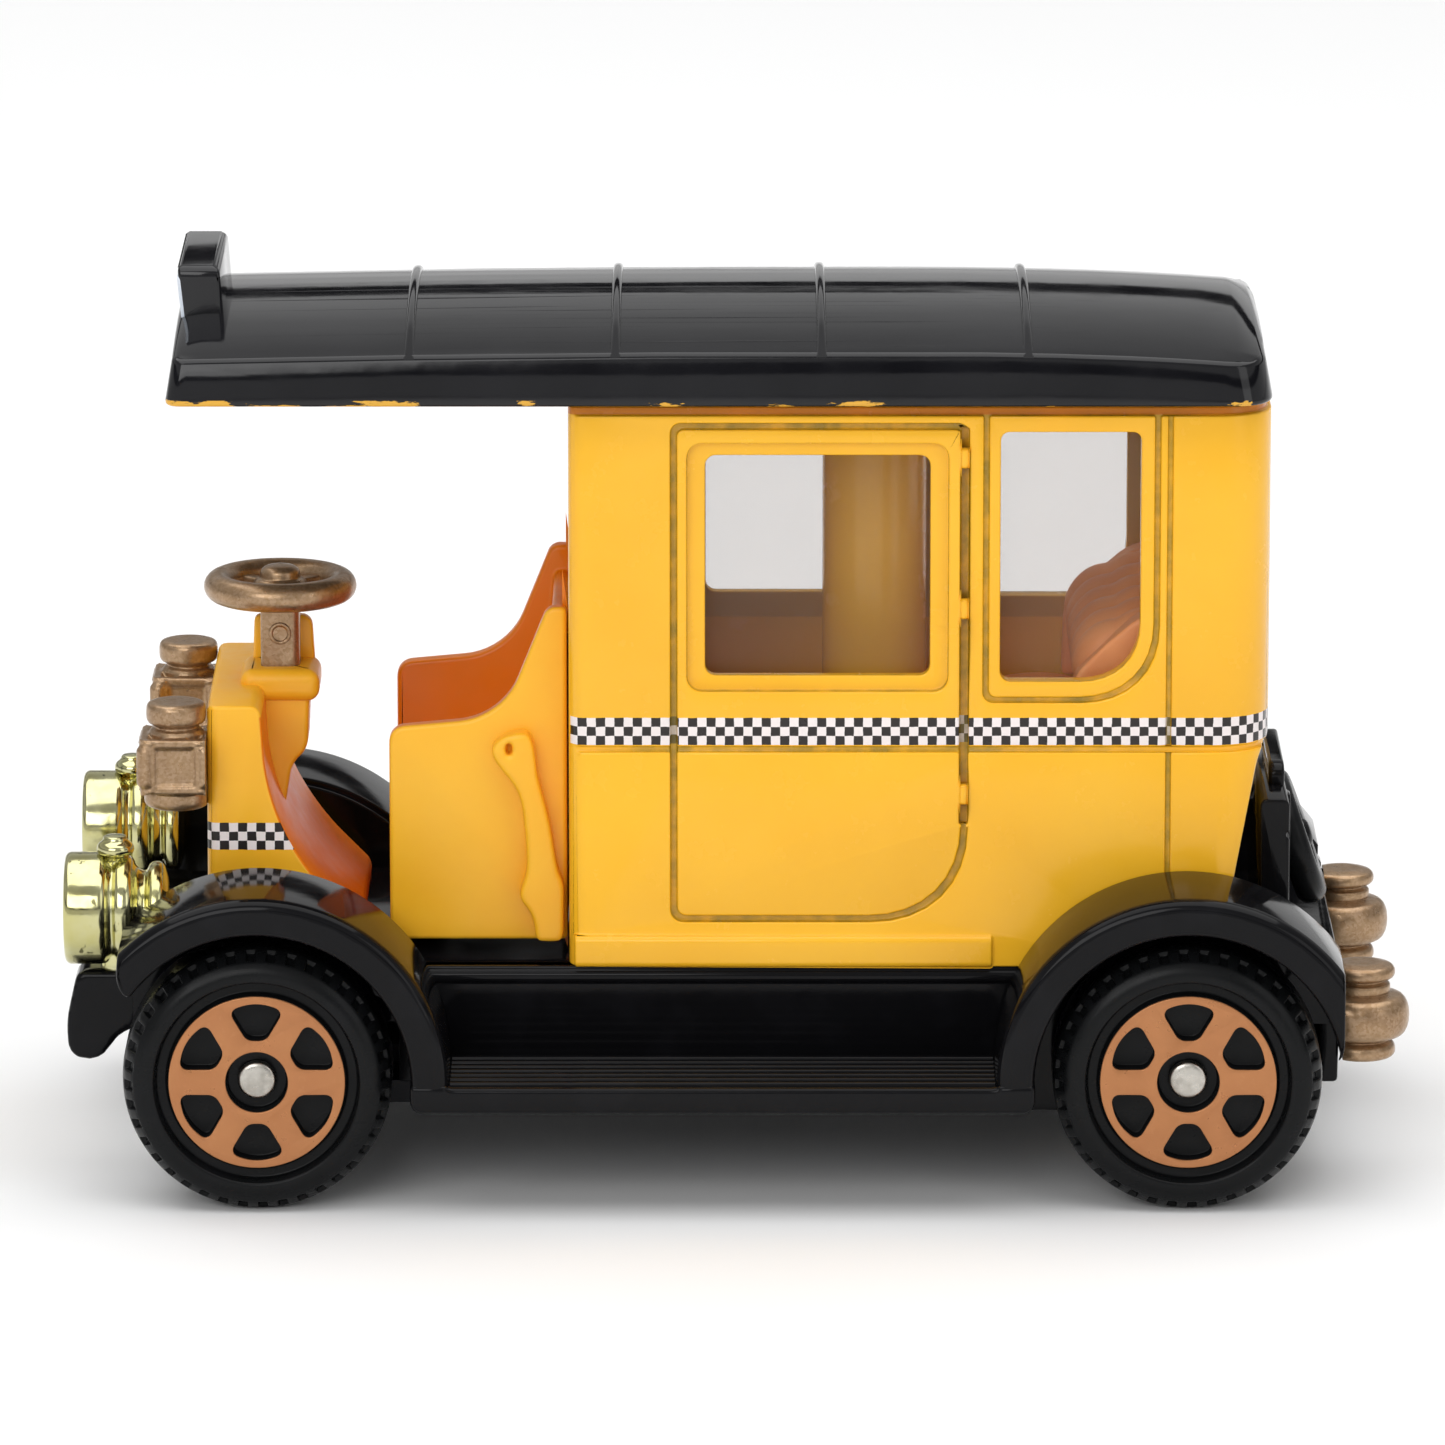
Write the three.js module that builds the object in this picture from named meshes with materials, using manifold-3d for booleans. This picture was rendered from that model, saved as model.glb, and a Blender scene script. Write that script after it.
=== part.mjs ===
// A pocket-size vintage taxi with a friction drive: a painted casting on a plastic chassis.
// Millimetres, +Z up, the car drives towards -X, its left side is -Y, and the wheels stand on Z = 0.

import * as THREE from 'three';
import { mergeVertices } from 'three/addons/utils/BufferGeometryUtils.js';
import Module from 'manifold-3d';

const wasm = await Module();
wasm.setup();

// ---- Driving dimensions ----

// Whole car
const halfLength = 29.4; // middle to the headlamp rims, and to the rear lamps
const halfWidth = 15; // middle to the fender faces
const seatedGap = 0.1; // between fixed pieces that sit in each other
const runningGap = 0.05; // all round a shaft that turns

// Wheels and axles
const wheelRadius = 5.88;
const wheelWidth = 4.5;
const wheelInset = 0.8; // fender face to wheel face
const frontOverhang = 8.6; // headlamp rim to front axle
const rearOverhang = 9.64; // rear axle to rear lamps
const axleRadius = 0.6;
const axleHeadRadius = 0.8;
const axleHeadLength = 0.45;
const hubRecessRadius = 1.33;
const hubRecessDepth = 1.0;
const discRadius = 3.83;
const sidewallRadius = 4.45;
const pocketCount = 6;
const pocketInnerRadius = 1.85;
const pocketOuterRadius = 3.45;
const pocketDepth = 0.7;

// Chassis
const deckRise = 4.02; // axle height to deck top
const deckThickness = 0.8;
const chassisDepth = 6.4; // deck top to the underside of the base
const baseThickness = 1.0;
const fenderClearance = 0.8; // tyre to the lip of the fender face
const fenderLip = 1.7; // height of the fender face
const fenderSkin = 0.8;
const fenderWidth = 6.2;
const sillThickness = 0.8;
const boardThickness = 1.2;
const boardRibHeight = 0.2;
const boardRibCount = 4;
const rearDeckOverlap = 2.8; // rear lamps reach this far behind the deck

// Cab and roof
const cabInset = 5.7; // fender face to cab side
const cabFrontReach = 22.16; // headlamp rim to cab front
const cabRearReach = 6.0; // rear lamps to cab back
const cabHeight = 25.0;
const cabWall = 1.0;
const cabCornerRadius = 2.6;
const beltRise = 10.0; // deck top to the belt's lower edge
const windowSill = 13.0; // deck top to the window sills
const doorWindowWidth = 9.8;
const doorWindowHeight = 9.8;
const quarterWindowWidth = 6.1;
const quarterWindowHeight = 11.1;
const grooveWidth = 0.25;
const grooveDepth = 0.2;
const postRadius = 2.3;
const roofOverhang = 1.0; // beyond the cab side
const roofHeight = 2.0; // lip to crease
const roofCrown = 1.2;
const roofFlare = 0.35;
const roofFrontReach = 4.7; // headlamp rim to the roof's front lip
const roofWall = 1.2;
const signWidth = 8.8;
const signDepth = 1.9;
const signHeight = 2.85; // above the crease
const roofRibCount = 4;
const roofRibSpacing = 5.36; // roof length over the distance from rib to rib

// Glazing and rear seat
const glassThickness = 0.7;
const seatHeight = 12.9; // deck top to cushion top
const seatBackHeight = 4.4;
const seatLength = 9.2;
const seatBackLength = 4.2;

// Driver's end
const tubLength = 7.8;
const tubHalfWidth = 7.0;
const tubSideHeight = 10.2;
const tubWingHeight = 18.3;
const tubWall = 0.9;
const tubSeatHeight = 6.0;
const floorThickness = 0.7;
const cowlHalfWidth = 6.2;
const cowlFrontReach = 6.2; // headlamp rim to cowl front
const cowlHeight = 11.06;
const cowlWall = 0.9;
const collarSize = 3.4;
const columnOffset = -0.5; // the column stands a little left of the middle
const postSize = 1.7;
const steeringHeight = 15.2; // deck top to the middle of the rim
const steeringRadius = 2.83;
const steeringTube = 0.55;

// Lamps
const headlampSpread = 7.8;
const headlampRadius = 2.475;
const headlampRise = 2.3; // deck top to lamp axis
const cowlLampSpread = 6.2;
const rearLampSpread = 7.6;

// Friction drive
const gearModule = 0.35;
const axleGearTeeth = 16;
const idlerPinionTeeth = 10;
const idlerGearTeeth = 20;
const flywheelPinionTeeth = 10;
const pressureAngle = 25 * Math.PI / 180;
const toothBacklash = 0.06;
const gearWidth = 1.3;
const gearGap = 0.6;
const idlerAngle = 150 * Math.PI / 180; // from the axle to the idler, in the side view
const flywheelAngle = 100 * Math.PI / 180; // from the idler to the flywheel
const flywheelRadius = 4.0;
const motorShaftRadius = 0.45;
const motorPlateThickness = 0.8;
const motorHalfWidth = 6.0;
const pillarRadius = 0.6;
const plateMargin = 1.8; // motor plate beyond the axle

// ---- Sizes that follow ----

const axleZ = wheelRadius;
const frontAxleX = -halfLength + frontOverhang;
const rearAxleX = halfLength - rearOverhang;
const wheelFaceY = halfWidth - wheelInset;
const wheelBackY = wheelFaceY - wheelWidth;
const boreRadius = axleRadius + runningGap;

const deckTop = axleZ + deckRise;
const baseBottom = deckTop - chassisDepth;
const baseTop = baseBottom + baseThickness;
const fenderInnerY = halfWidth - fenderWidth;
const sillOuter = fenderInnerY + 0.4;
const fenderRadius = wheelRadius + fenderClearance + fenderLip;
const fenderLipRadius = wheelRadius + fenderClearance;
const rearDeckX = halfLength - rearDeckOverlap;
const frontDeckX = -halfLength + 4.8;
const boardBottom = baseBottom + 1.17;
const boardTop = boardBottom + boardThickness;

const cabHalfWidth = halfWidth - cabInset;
const cabFrontX = -halfLength + cabFrontReach;
const cabRearX = halfLength - cabRearReach;
const cabTop = deckTop + cabHeight;
const sillTop = deckTop + windowSill;
const postX = cabFrontX + 13.44;
const roofLip = cabTop + 0.2;
const roofCrease = roofLip + roofHeight;
const roofFrontX = -halfLength + roofFrontReach;
const roofHalfWidth = cabHalfWidth + roofOverhang;
const doorFrontX = cabFrontX + 4.44;
const doorWindowX = doorFrontX + 1.52;
const doorRearX = doorWindowX + doorWindowWidth + 1.67;
const quarterWindowX = doorRearX + 1.38;

const tubFrontX = cabFrontX - seatedGap - tubLength;
const tubRearX = cabFrontX - seatedGap;
const floorTop = deckTop + floorThickness;
const tubTopZ = deckTop + tubWingHeight;
const cowlFrontX = -halfLength + cowlFrontReach;
const cowlTop = deckTop + cowlHeight;
const columnX = cowlFrontX + 3.1;
const collarTop = cowlTop + 0.64;
const steeringZ = deckTop + steeringHeight;

const motorInnerY = motorHalfWidth - motorPlateThickness;
const axleGearY = -motorInnerY + gearGap;
const idlerGearY = axleGearY + gearWidth + gearGap;
const flywheelY = idlerGearY + gearWidth + gearGap;
const toothTip = 0.8 * gearModule;
const firstCentres = gearModule * (axleGearTeeth + idlerPinionTeeth) / 2;
const secondCentres = gearModule * (idlerGearTeeth + flywheelPinionTeeth) / 2;
const idlerX = rearAxleX + firstCentres * Math.cos(idlerAngle);
const idlerZ = axleZ + firstCentres * Math.sin(idlerAngle);
const flywheelX = idlerX + secondCentres * Math.cos(flywheelAngle);
const flywheelZ = idlerZ + secondCentres * Math.sin(flywheelAngle);
const idlerTipRadius = gearModule * idlerGearTeeth / 2 + toothTip;
const axleGearTipRadius = gearModule * axleGearTeeth / 2 + toothTip;
const pillarReach = idlerTipRadius + pillarRadius + 0.3;
const pillars = [41, 165].map((degrees) => {
  const angle = degrees * Math.PI / 180;
  return { x: idlerX + pillarReach * Math.cos(angle), z: idlerZ + pillarReach * Math.sin(angle) };
});

// ---- Finishes ----

const finish = (color, roughness, metalness = 0) =>
  new THREE.MeshStandardMaterial({ color, roughness, metalness });
const cabPaint = finish(0xfdc43c, 0.22);
const yellowPlastic = finish(0xf5b42d, 0.35);
const glossBlack = finish(0x212124, 0.15);
const mattBlack = finish(0x2a2a2d, 0.6);
const tyreBlack = finish(0x242427, 0.5);
const bronzePaint = finish(0x967350, 0.4, 0.6);
const goldChrome = finish(0xd7d773, 0.08, 1);
const steel = finish(0xaaa59b, 0.3, 1);
const smokedClear = new THREE.MeshStandardMaterial({
  color: 0xc8c5c0, roughness: 0.05, transparent: true, opacity: 0.35,
});
const whitePlastic = finish(0xe8e6dc, 0.5);
const zinc = finish(0xa0a0a2, 0.5, 1);

// ---- Solids from three.js geometry ----

const weldDistance = 1e-4;
const smooth = 24; // facets round a shaft
const coarse = 16; // facets round small trim

function solid(geometry) {
  const bare = geometry.index ? geometry.toNonIndexed() : geometry.clone();
  bare.deleteAttribute('normal');
  bare.deleteAttribute('uv');
  const welded = mergeVertices(bare, weldDistance);
  const points = welded.attributes.position.array;
  const corners = welded.index.array;
  const kept = [];
  let volume = 0;
  for (let i = 0; i < corners.length; i += 3) {
    const [a, b, c] = corners.slice(i, i + 3);
    if (a === b || b === c || c === a) continue;
    kept.push(a, b, c);
    const [p, q, r] = [a, b, c].map((n) => new THREE.Vector3().fromArray(points, 3 * n));
    volume += p.dot(q.cross(r));
  }
  if (volume < 0) kept.reverse();
  return new wasm.Manifold(new wasm.Mesh({
    numProp: 3,
    vertProperties: new Float32Array(points),
    triVerts: new Uint32Array(kept),
  }));
}

const join = (...pieces) => pieces.reduce((whole, piece) => whole.add(piece));
const cut = (body, ...tools) => tools.reduce((left, tool) => left.subtract(tool), body);

function block([x0, x1], [y0, y1], [z0, z1]) {
  const geometry = new THREE.BoxGeometry(x1 - x0, y1 - y0, z1 - z0);
  return solid(geometry.translate((x0 + x1) / 2, (y0 + y1) / 2, (z0 + z1) / 2));
}

// The straight-sided outline through corners [a, b, radius], with each corner rounded by its radius.
function outline(corners) {
  const shape = new THREE.Shape();
  const shift = (from, to, distance) => {
    const a = new THREE.Vector2(from[0], from[1]);
    const b = new THREE.Vector2(to[0], to[1]);
    const span = a.distanceTo(b);
    return a.lerp(b, Math.min(distance, 0.49 * span) / span);
  };
  corners.forEach((corner, i) => {
    const radius = corner[2] ?? 0;
    const start = shift(corner, corners.at(i - 1), radius);
    const end = shift(corner, corners[(i + 1) % corners.length], radius);
    if (i === 0) shape.moveTo(start.x, start.y);
    else shape.lineTo(start.x, start.y);
    if (radius > 0) shape.quadraticCurveTo(corner[0], corner[1], end.x, end.y);
  });
  shape.closePath();
  return shape;
}

const rectangle = ([a0, a1], [b0, b1], radii = [0, 0, 0, 0]) =>
  outline([[a0, b0, radii[0]], [a1, b0, radii[1]], [a1, b1, radii[2]], [a0, b1, radii[3]]]);

const extruded = (shape, depth, curveSegments) =>
  new THREE.ExtrudeGeometry(shape, { depth, bevelEnabled: false, curveSegments });

// A side-view outline (X, Z) pushed across the car from y0 to y1.
const acrossCar = (shape, [y0, y1], curveSegments = 4) =>
  solid(extruded(shape, y1 - y0, curveSegments).rotateX(Math.PI / 2).translate(0, y1, 0));

// A plan outline (X, Y) raised from z0 to z1.
const upwards = (shape, [z0, z1], curveSegments = 4) =>
  solid(extruded(shape, z1 - z0, curveSegments).translate(0, 0, z0));

// A front-view outline (Y, Z) pushed along the car from x0 to x1.
const alongCar = (shape, [x0, x1], curveSegments = 4) => {
  const turn = new THREE.Matrix4().makeBasis(
    new THREE.Vector3(0, 1, 0), new THREE.Vector3(0, 0, 1), new THREE.Vector3(1, 0, 0));
  return solid(extruded(shape, x1 - x0, curveSegments).applyMatrix4(turn).translate(x0, 0, 0));
};

const turned = (profile, facets) =>
  new THREE.LatheGeometry(profile.map(([r, h]) => new THREE.Vector2(r, h)), facets);

// Turned solids: profiles are [radius, distance along the axis], starting and ending on the axis.
const turnedAcross = (profile, [x, z], facets = smooth) => solid(turned(profile, facets).translate(x, 0, z));
const turnedUpright = (profile, [x, y], facets = coarse) =>
  solid(turned(profile, facets).rotateX(Math.PI / 2).translate(x, y, 0));
const turnedForward = (profile, [y, z], facets = smooth) =>
  solid(turned(profile, facets).rotateZ(-Math.PI / 2).translate(0, y, z));

const rodAcross = (radius, centre, [y0, y1], facets = smooth) =>
  turnedAcross([[0, y0], [radius, y0], [radius, y1], [0, y1]], centre, facets);
const rodUpright = (radius, centre, [z0, z1], facets = smooth) =>
  turnedUpright([[0, z0], [radius, z0], [radius, z1], [0, z1]], centre, facets);

// The same range on the left (side -1) or the right (side +1) of the middle plane.
const onSide = (side, [y0, y1]) => (side > 0 ? [y0, y1] : [-y1, -y0]);

const car = new THREE.Group();

function add(name, body, material) {
  const mesh = body.getMesh();
  const geometry = new THREE.BufferGeometry();
  geometry.setAttribute('position', new THREE.BufferAttribute(new Float32Array(mesh.vertProperties), 3));
  geometry.setIndex(new THREE.BufferAttribute(new Uint32Array(mesh.triVerts), 1));
  geometry.computeVertexNormals();
  const piece = new THREE.Mesh(geometry, material);
  piece.name = name;
  car.add(piece);
}

// ---- Cab casting: body shell, roof canopy, sign box and the riveting post in one ----

// The side outline of the cab, drawn in by a wall thickness for its hollow.
function cabSide(inset) {
  const low = deckTop - (inset > 0 ? 1 : 0);
  const rear = cabRearX - inset;
  return outline([
    [cabFrontX + inset, low], [rear - 2.2, low], [rear - 1.6, deckTop + 3.7, 3],
    [rear - 0.5, deckTop + 9.3, 0.6], [rear, deckTop + beltRise + 0.1, 0.4],
    [rear, cabTop - inset, 0], [cabFrontX + inset, cabTop - inset],
  ]);
}

function cabBlock(inset) {
  const half = cabHalfWidth - inset;
  const corner = Math.max(cabCornerRadius - inset, 0.5);
  const plan = rectangle([cabFrontX + inset, cabRearX - inset], [-half, half],
    [0.8, corner, corner, 0.8]);
  const tall = upwards(plan, [deckTop - 2, cabTop + 2], 5);
  return tall.intersect(acrossCar(cabSide(inset), [-half - 1, half + 1]));
}

const doorWindow = rectangle([doorWindowX, doorWindowX + doorWindowWidth],
  [sillTop, sillTop + doorWindowHeight], [0.5, 0.5, 0.5, 0.5]);
const quarterWindow = rectangle([quarterWindowX, quarterWindowX + quarterWindowWidth],
  [sillTop - 0.2, sillTop - 0.2 + quarterWindowHeight], [0.5, 2.6, 0.4, 0.4]);

const doorCorners = (shrink) => [
  [doorFrontX + shrink, deckTop + 2 + shrink, 0.6],
  [doorRearX - shrink, deckTop + 2 + shrink, 4.2],
  [doorRearX - shrink, cabTop - 0.7 - shrink, 0.4],
  [doorFrontX + shrink, cabTop - 0.7 - shrink, 0.4],
];

function doorGroove(side) {
  const ring = outline(doorCorners(0));
  ring.holes.push(outline(doorCorners(grooveWidth)));
  return acrossCar(ring, onSide(side, [cabHalfWidth - grooveDepth, cabHalfWidth + 1]));
}

// A crowned slab: the top rises towards its middle both ways, the sides flare out to the lip.
function crownedSlab([x0, x1], halfWidthOfSlab, [z0, z1], raise = 0, steps = [10, 6]) {
  const length = x1 - x0;
  const width = 2 * halfWidthOfSlab;
  const geometry = new THREE.BoxGeometry(length, width, z1 - z0, steps[0], steps[1], 1);
  const place = geometry.attributes.position;
  const roofMiddle = (roofFrontX + cabRearX) / 2;
  const roofHalf = (cabRearX - roofFrontX) / 2;
  for (let i = 0; i < place.count; i += 1) {
    const isTop = place.getZ(i) > 0;
    const spread = isTop ? 1 : 1 + 2 * roofFlare / width;
    const x = place.getX(i) + (x0 + x1) / 2;
    const y = place.getY(i);
    const along = (x - roofMiddle) / roofHalf;
    const across = y / roofHalfWidth;
    const crown = Math.max(0, 1 - along ** 2) * Math.max(0, 1 - across ** 2);
    const top = z1 + roofCrown * crown + raise;
    const atEnd = Math.abs(place.getX(i)) > length / 2 - 0.01;
    const end = isTop || !atEnd ? 0 : Math.sign(place.getX(i)) * roofFlare;
    place.setXYZ(i, x + end, y * spread, isTop ? top : z0);
  }
  return solid(geometry);
}

function cabCasting() {
  const half = roofHalfWidth - roofFlare;
  const roofRange = [roofFrontX + roofFlare, cabRearX - roofFlare];
  const roof = crownedSlab(roofRange, half, [roofLip, roofCrease]);
  const underside = block([roofRange[0] + roofWall, cabFrontX], [-half + roofWall, half - roofWall],
    [roofLip - 1, roofCrease - roofWall]);
  const ribPitch = (cabRearX - roofFrontX) / roofRibSpacing;
  const ribs = Array.from({ length: roofRibCount }, (_, i) => {
    const x = roofFrontX + 10.6 + i * ribPitch;
    const height = [roofCrease - 0.5, roofCrease + 0.02];
    return crownedSlab([x - 0.25, x + 0.25], half - 0.1, height, 0.22, [1, 6]);
  });
  const signX = roofFrontX + 0.4;
  const signFace = rectangle([-signWidth / 2, signWidth / 2], [roofCrease - 0.8, roofCrease + signHeight],
    [0, 0, 0.4, 0.4]);
  const sign = alongCar(signFace, [signX, signX + signDepth]);
  const lid = block([cabFrontX + 0.5, cabRearX - 0.5], [-cabHalfWidth + 0.5, cabHalfWidth - 0.5],
    [cabTop - cabWall, roofLip + 0.5]);
  const bead = [deckTop, deckTop + 1.5];
  const beadRear = rearAxleX - fenderRadius - seatedGap;
  const sideBeads = [-1, 1].map((side) => block([cabFrontX + 0.3, beadRear],
    onSide(side, [cabHalfWidth - 0.5, cabHalfWidth + 0.25]), bead));
  const post = rodUpright(postRadius, [postX, 0], [baseTop, cabTop]);
  const shell = cut(cabBlock(0), cabBlock(cabWall));
  const windows = [-1, 1].flatMap((side) => [doorWindow, quarterWindow].map((window) =>
    acrossCar(window, onSide(side, [cabHalfWidth - 2, cabHalfWidth + 1]))));
  const rearWindow = alongCar(rectangle([-4.2, 4.2], [sillTop, sillTop + 8.4], [1, 1, 1, 1]),
    [cabRearX - 2, cabRearX + 1]);
  const frontWindow = alongCar(rectangle([-5.2, 5.2], [tubTopZ + 1.2, cabTop - 2.2], [0.6, 0.6, 0.6, 0.6]),
    [cabFrontX - 1, cabFrontX + 2]);
  const belt = [deckTop + beltRise - 0.35, deckTop + beltRise - 0.1];
  const beltGrooves = [-1, 1].map((side) => block([cabFrontX - 1, cabRearX - cabCornerRadius],
    onSide(side, [cabHalfWidth - grooveDepth, cabHalfWidth + 1]), belt));
  const body = cut(shell, ...windows, rearWindow, frontWindow, ...beltGrooves, doorGroove(-1), doorGroove(1));
  const canopy = cut(join(roof, ...ribs, sign), underside);
  return cut(join(body, ...sideBeads, lid, canopy, post),
    rodUpright(rivetShankRadius + seatedGap, [postX, 0], [baseTop - 1, baseTop + rivetShankLength + 0.3]));
}

// ---- Glazing: side, front and rear panes hung from one plate under the roof ----

function windowGlazing() {
  const outerY = cabHalfWidth - cabWall - seatedGap;
  const top = cabTop - cabWall - seatedGap;
  const low = sillTop - 1;
  const frontX = cabFrontX + cabWall + seatedGap;
  const rearX = cabRearX - cabWall - seatedGap;
  const cornerStart = cabRearX - cabCornerRadius - 0.4;
  const panes = [-1, 1].map((side) => block([frontX + 1.6, cornerStart],
    onSide(side, [outerY - glassThickness, outerY]), [low, top]));
  const plate = block([frontX, rearX], [-outerY + 2.4, outerY - 2.4], [top - 0.5, top]);
  const frontPane = block([frontX, frontX + glassThickness], [-outerY + 2.4, outerY - 2.4],
    [tubTopZ + 0.3, top]);
  const bridges = block([frontX + 1.6, cornerStart], [-outerY, outerY], [top - 0.5, top]);
  const rearPane = block([rearX - glassThickness, rearX], [-outerY + 2.4, outerY - 2.4], [low, top]);
  const postHole = rodUpright(postRadius + seatedGap, [postX, 0], [top - 2, top + 1]);
  return cut(join(...panes, plate, bridges, frontPane, rearPane), postHole);
}

// ---- Rear seat: a bench whose cheeks straddle the drive ----

function rearSeat() {
  const cushionTop = deckTop + seatHeight;
  const rearX = cabRearX - cabWall - glassThickness - 3 * seatedGap - 1.0;
  const frontX = rearX - seatLength;
  const half = cabHalfWidth - cabWall - glassThickness - 0.5;
  const underside = flywheelZ + flywheelRadius + 0.5;
  const side = outline([
    [frontX, underside], [rearX, underside], [rearX, cushionTop + seatBackHeight, 0.8],
    [rearX - seatBackLength + 1.2, cushionTop + seatBackHeight - 0.4, 1.2],
    [rearX - seatBackLength, cushionTop], [frontX, cushionTop, 1.2],
  ]);
  const bench = acrossCar(side, [-half, half]);
  const cheekInner = motorHalfWidth + 0.35;
  const cheeks = [-1, 1].map((wing) => block([frontX + 0.6, rearX - 3.0],
    onSide(wing, [cheekInner, half]), [deckTop, underside + 0.2]));
  return join(bench, ...cheeks);
}

// ---- Front body: cowl, collar, floor and the driver's tub in one moulding ----

function tubSide() {
  return outline([
    [tubFrontX, floorTop], [tubRearX, floorTop], [tubRearX, tubTopZ, 0.3],
    [tubRearX - 0.9, tubTopZ, 0.5], [tubRearX - 2.4, tubTopZ - 4.6, 1.2],
    [tubRearX - 3.2, deckTop + tubSideHeight + 0.4, 1.6], [tubFrontX, deckTop + tubSideHeight, 0.6],
  ]);
}

function cowlSide(inset) {
  const top = cowlTop - inset;
  const rear = cowlFrontX + 2.5;
  return outline([
    [cowlFrontX + inset, deckTop + (inset > 0 ? floorThickness : 0)],
    [rear + 4.6 + inset, deckTop + (inset > 0 ? floorThickness : 0)],
    [rear + 1.6 + inset, deckTop + 2.8, 2], [rear + inset, deckTop + 6.6, 1.5],
    [rear - 0.15 + inset, top], [cowlFrontX + inset, top, 0.7],
  ]);
}

function frontBody() {
  const floor = block([cowlFrontX + 0.5, tubRearX], [-cowlHalfWidth + 0.2, cowlHalfWidth - 0.2],
    [deckTop, floorTop]);
  const tub = acrossCar(tubSide(), [-tubHalfWidth, tubHalfWidth]);
  const tubInner = tubHalfWidth - tubWall;
  const well = block([tubFrontX - 1, tubRearX - tubWall], [-tubInner, tubInner],
    [deckTop + tubSeatHeight, tubTopZ + 1]);
  const backTop = block([tubRearX - 3, tubRearX + 1], [-tubInner, tubInner], [tubTopZ - 1.2, tubTopZ + 1]);
  const cowl = acrossCar(cowlSide(0), [-cowlHalfWidth, cowlHalfWidth]);
  const hollow = acrossCar(cowlSide(cowlWall), [-cowlHalfWidth + cowlWall, cowlHalfWidth - cowlWall]);
  const half = collarSize / 2;
  const collar = block([columnX - half, columnX + half], [columnOffset - half, columnOffset + half],
    [cowlTop - 1.0, collarTop]);
  const stem = block([columnX - half + 0.3, columnX + half - 0.4],
    [columnOffset - half + 0.4, columnOffset + half - 0.4], [floorTop - 0.1, cowlTop - 0.9]);
  const rib = block([columnX - 1.4, columnX + 1.2], [columnOffset + 1.0, columnOffset + half],
    [cowlTop - 0.5, collarTop + 1.8]);
  const socket = columnSocket(seatedGap);
  const rivetHole = rodUpright(rivetShankRadius + seatedGap, [frontRivetX, 0],
    [deckTop - 1, deckTop + 0.5]);
  return cut(join(cut(tub, well, backTop), cut(cowl, hollow), floor, collar, stem, rib), socket, rivetHole);
}

// ---- Steering wheel on its square post ----

function columnSocket(gap) {
  const half = postSize / 2 + gap;
  return block([columnX - half, columnX + half], [columnOffset - half, columnOffset + half],
    [collarTop - 1.4, gap > 0 ? collarTop + 3 : steeringZ]);
}

function steeringWheel() {
  const centre = new THREE.TorusGeometry(steeringRadius, steeringTube, 6, 20);
  const rim = solid(centre.translate(columnX, columnOffset, steeringZ));
  const spokes = [0, Math.PI / 2].map((angle) => {
    const bar = new THREE.BoxGeometry(2 * steeringRadius, 0.6, 0.45);
    return solid(bar.rotateZ(angle + Math.PI / 4).translate(columnX, columnOffset, steeringZ - 0.1));
  });
  const hub = turnedUpright([[0, steeringZ - 0.5], [1, steeringZ - 0.5], [1, steeringZ + 0.3],
    [0.7, steeringZ + 0.6], [0, steeringZ + 0.7]], [columnX, columnOffset]);
  return join(rim, ...spokes, hub, columnSocket(0));
}

// ---- Lamps ----

const headlampZ = deckTop + headlampRise;

// The lamp's turned body, grown by a gap for the hollow that it sits in.
function headlampBody(side, gap) {
  const profile = [
    [1.9, 0.3], [2.2, 0], [headlampRadius, 0.2], [headlampRadius, 1.2], [2.2, 1.35], [2.35, 1.7],
    [2.35, 2.5], [1.9, 2.75], [1.7, 3.9], [1.9, 4.0], [1.9, 4.5], [1.2, 4.6],
  ].map(([radius, reach]) => [radius + gap, reach - halfLength]);
  const end = 4.6 + gap - halfLength;
  return turnedForward([[0, 0.3 - halfLength], ...profile, [1.2 + gap, end], [0, end]],
    [side * headlampSpread, headlampZ], 20);
}

function headlamp(side) {
  const y = side * headlampSpread;
  const chimney = rodUpright(0.75, [2.1 - halfLength, y], [headlampZ + 1, headlampZ + 3.3], coarse);
  const foot = block([1.8 - halfLength, 3.3 - halfLength], [y - 0.5, y + 0.5], [hornTop, headlampZ - 1.2]);
  return join(headlampBody(side, 0), chimney, foot);
}

function cowlLamp(side) {
  const x = cowlFrontX - seatedGap - 1.5;
  const y = side * cowlLampSpread;
  const low = deckTop + 6.5;
  const roll = (z0, z1, radius) => turnedUpright([[0, z0], [radius - 0.3, z0], [radius, z0 + 0.25],
    [radius, z1 - 0.25], [radius - 0.3, z1], [0, z1]], [x, y]);
  const box = block([x - 1.4, x + 1.4], [y - 1.3, y + 1.3], [low + 0.9, low + 3.3]);
  return join(roll(low, low + 0.95, 1.45), box, rodUpright(1.0, [x, y], [low + 3.2, low + 3.8], coarse),
    roll(low + 3.7, low + 4.8, 1.45));
}

function rearLamp(side) {
  const x = rearDeckX + 0.95;
  const y = side * rearLampSpread;
  const low = deckTop - 4.4;
  const reach = halfLength - x;
  const body = turnedUpright([
    [0, low], [1.2, low], [1.5, low + 0.25], [1.5, low + 0.6], [1.2, low + 0.85],
    [reach - 0.25, low + 1.15], [reach, low + 1.85], [reach - 0.25, low + 2.55],
    [1.1, low + 2.95], [1.05, low + 3.3], [1.35, low + 3.5], [1.35, low + 4.1], [1.1, low + 4.3],
    [0, low + 4.3],
  ], [x, y]);
  return cut(body, block([rearDeckX - 3, rearDeckX + seatedGap], [y - 3, y + 3], [low - 1, low + 6]));
}

// ---- Fender frame: fenders, running boards, sills, deck and lamp horns in one moulding ----

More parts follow.
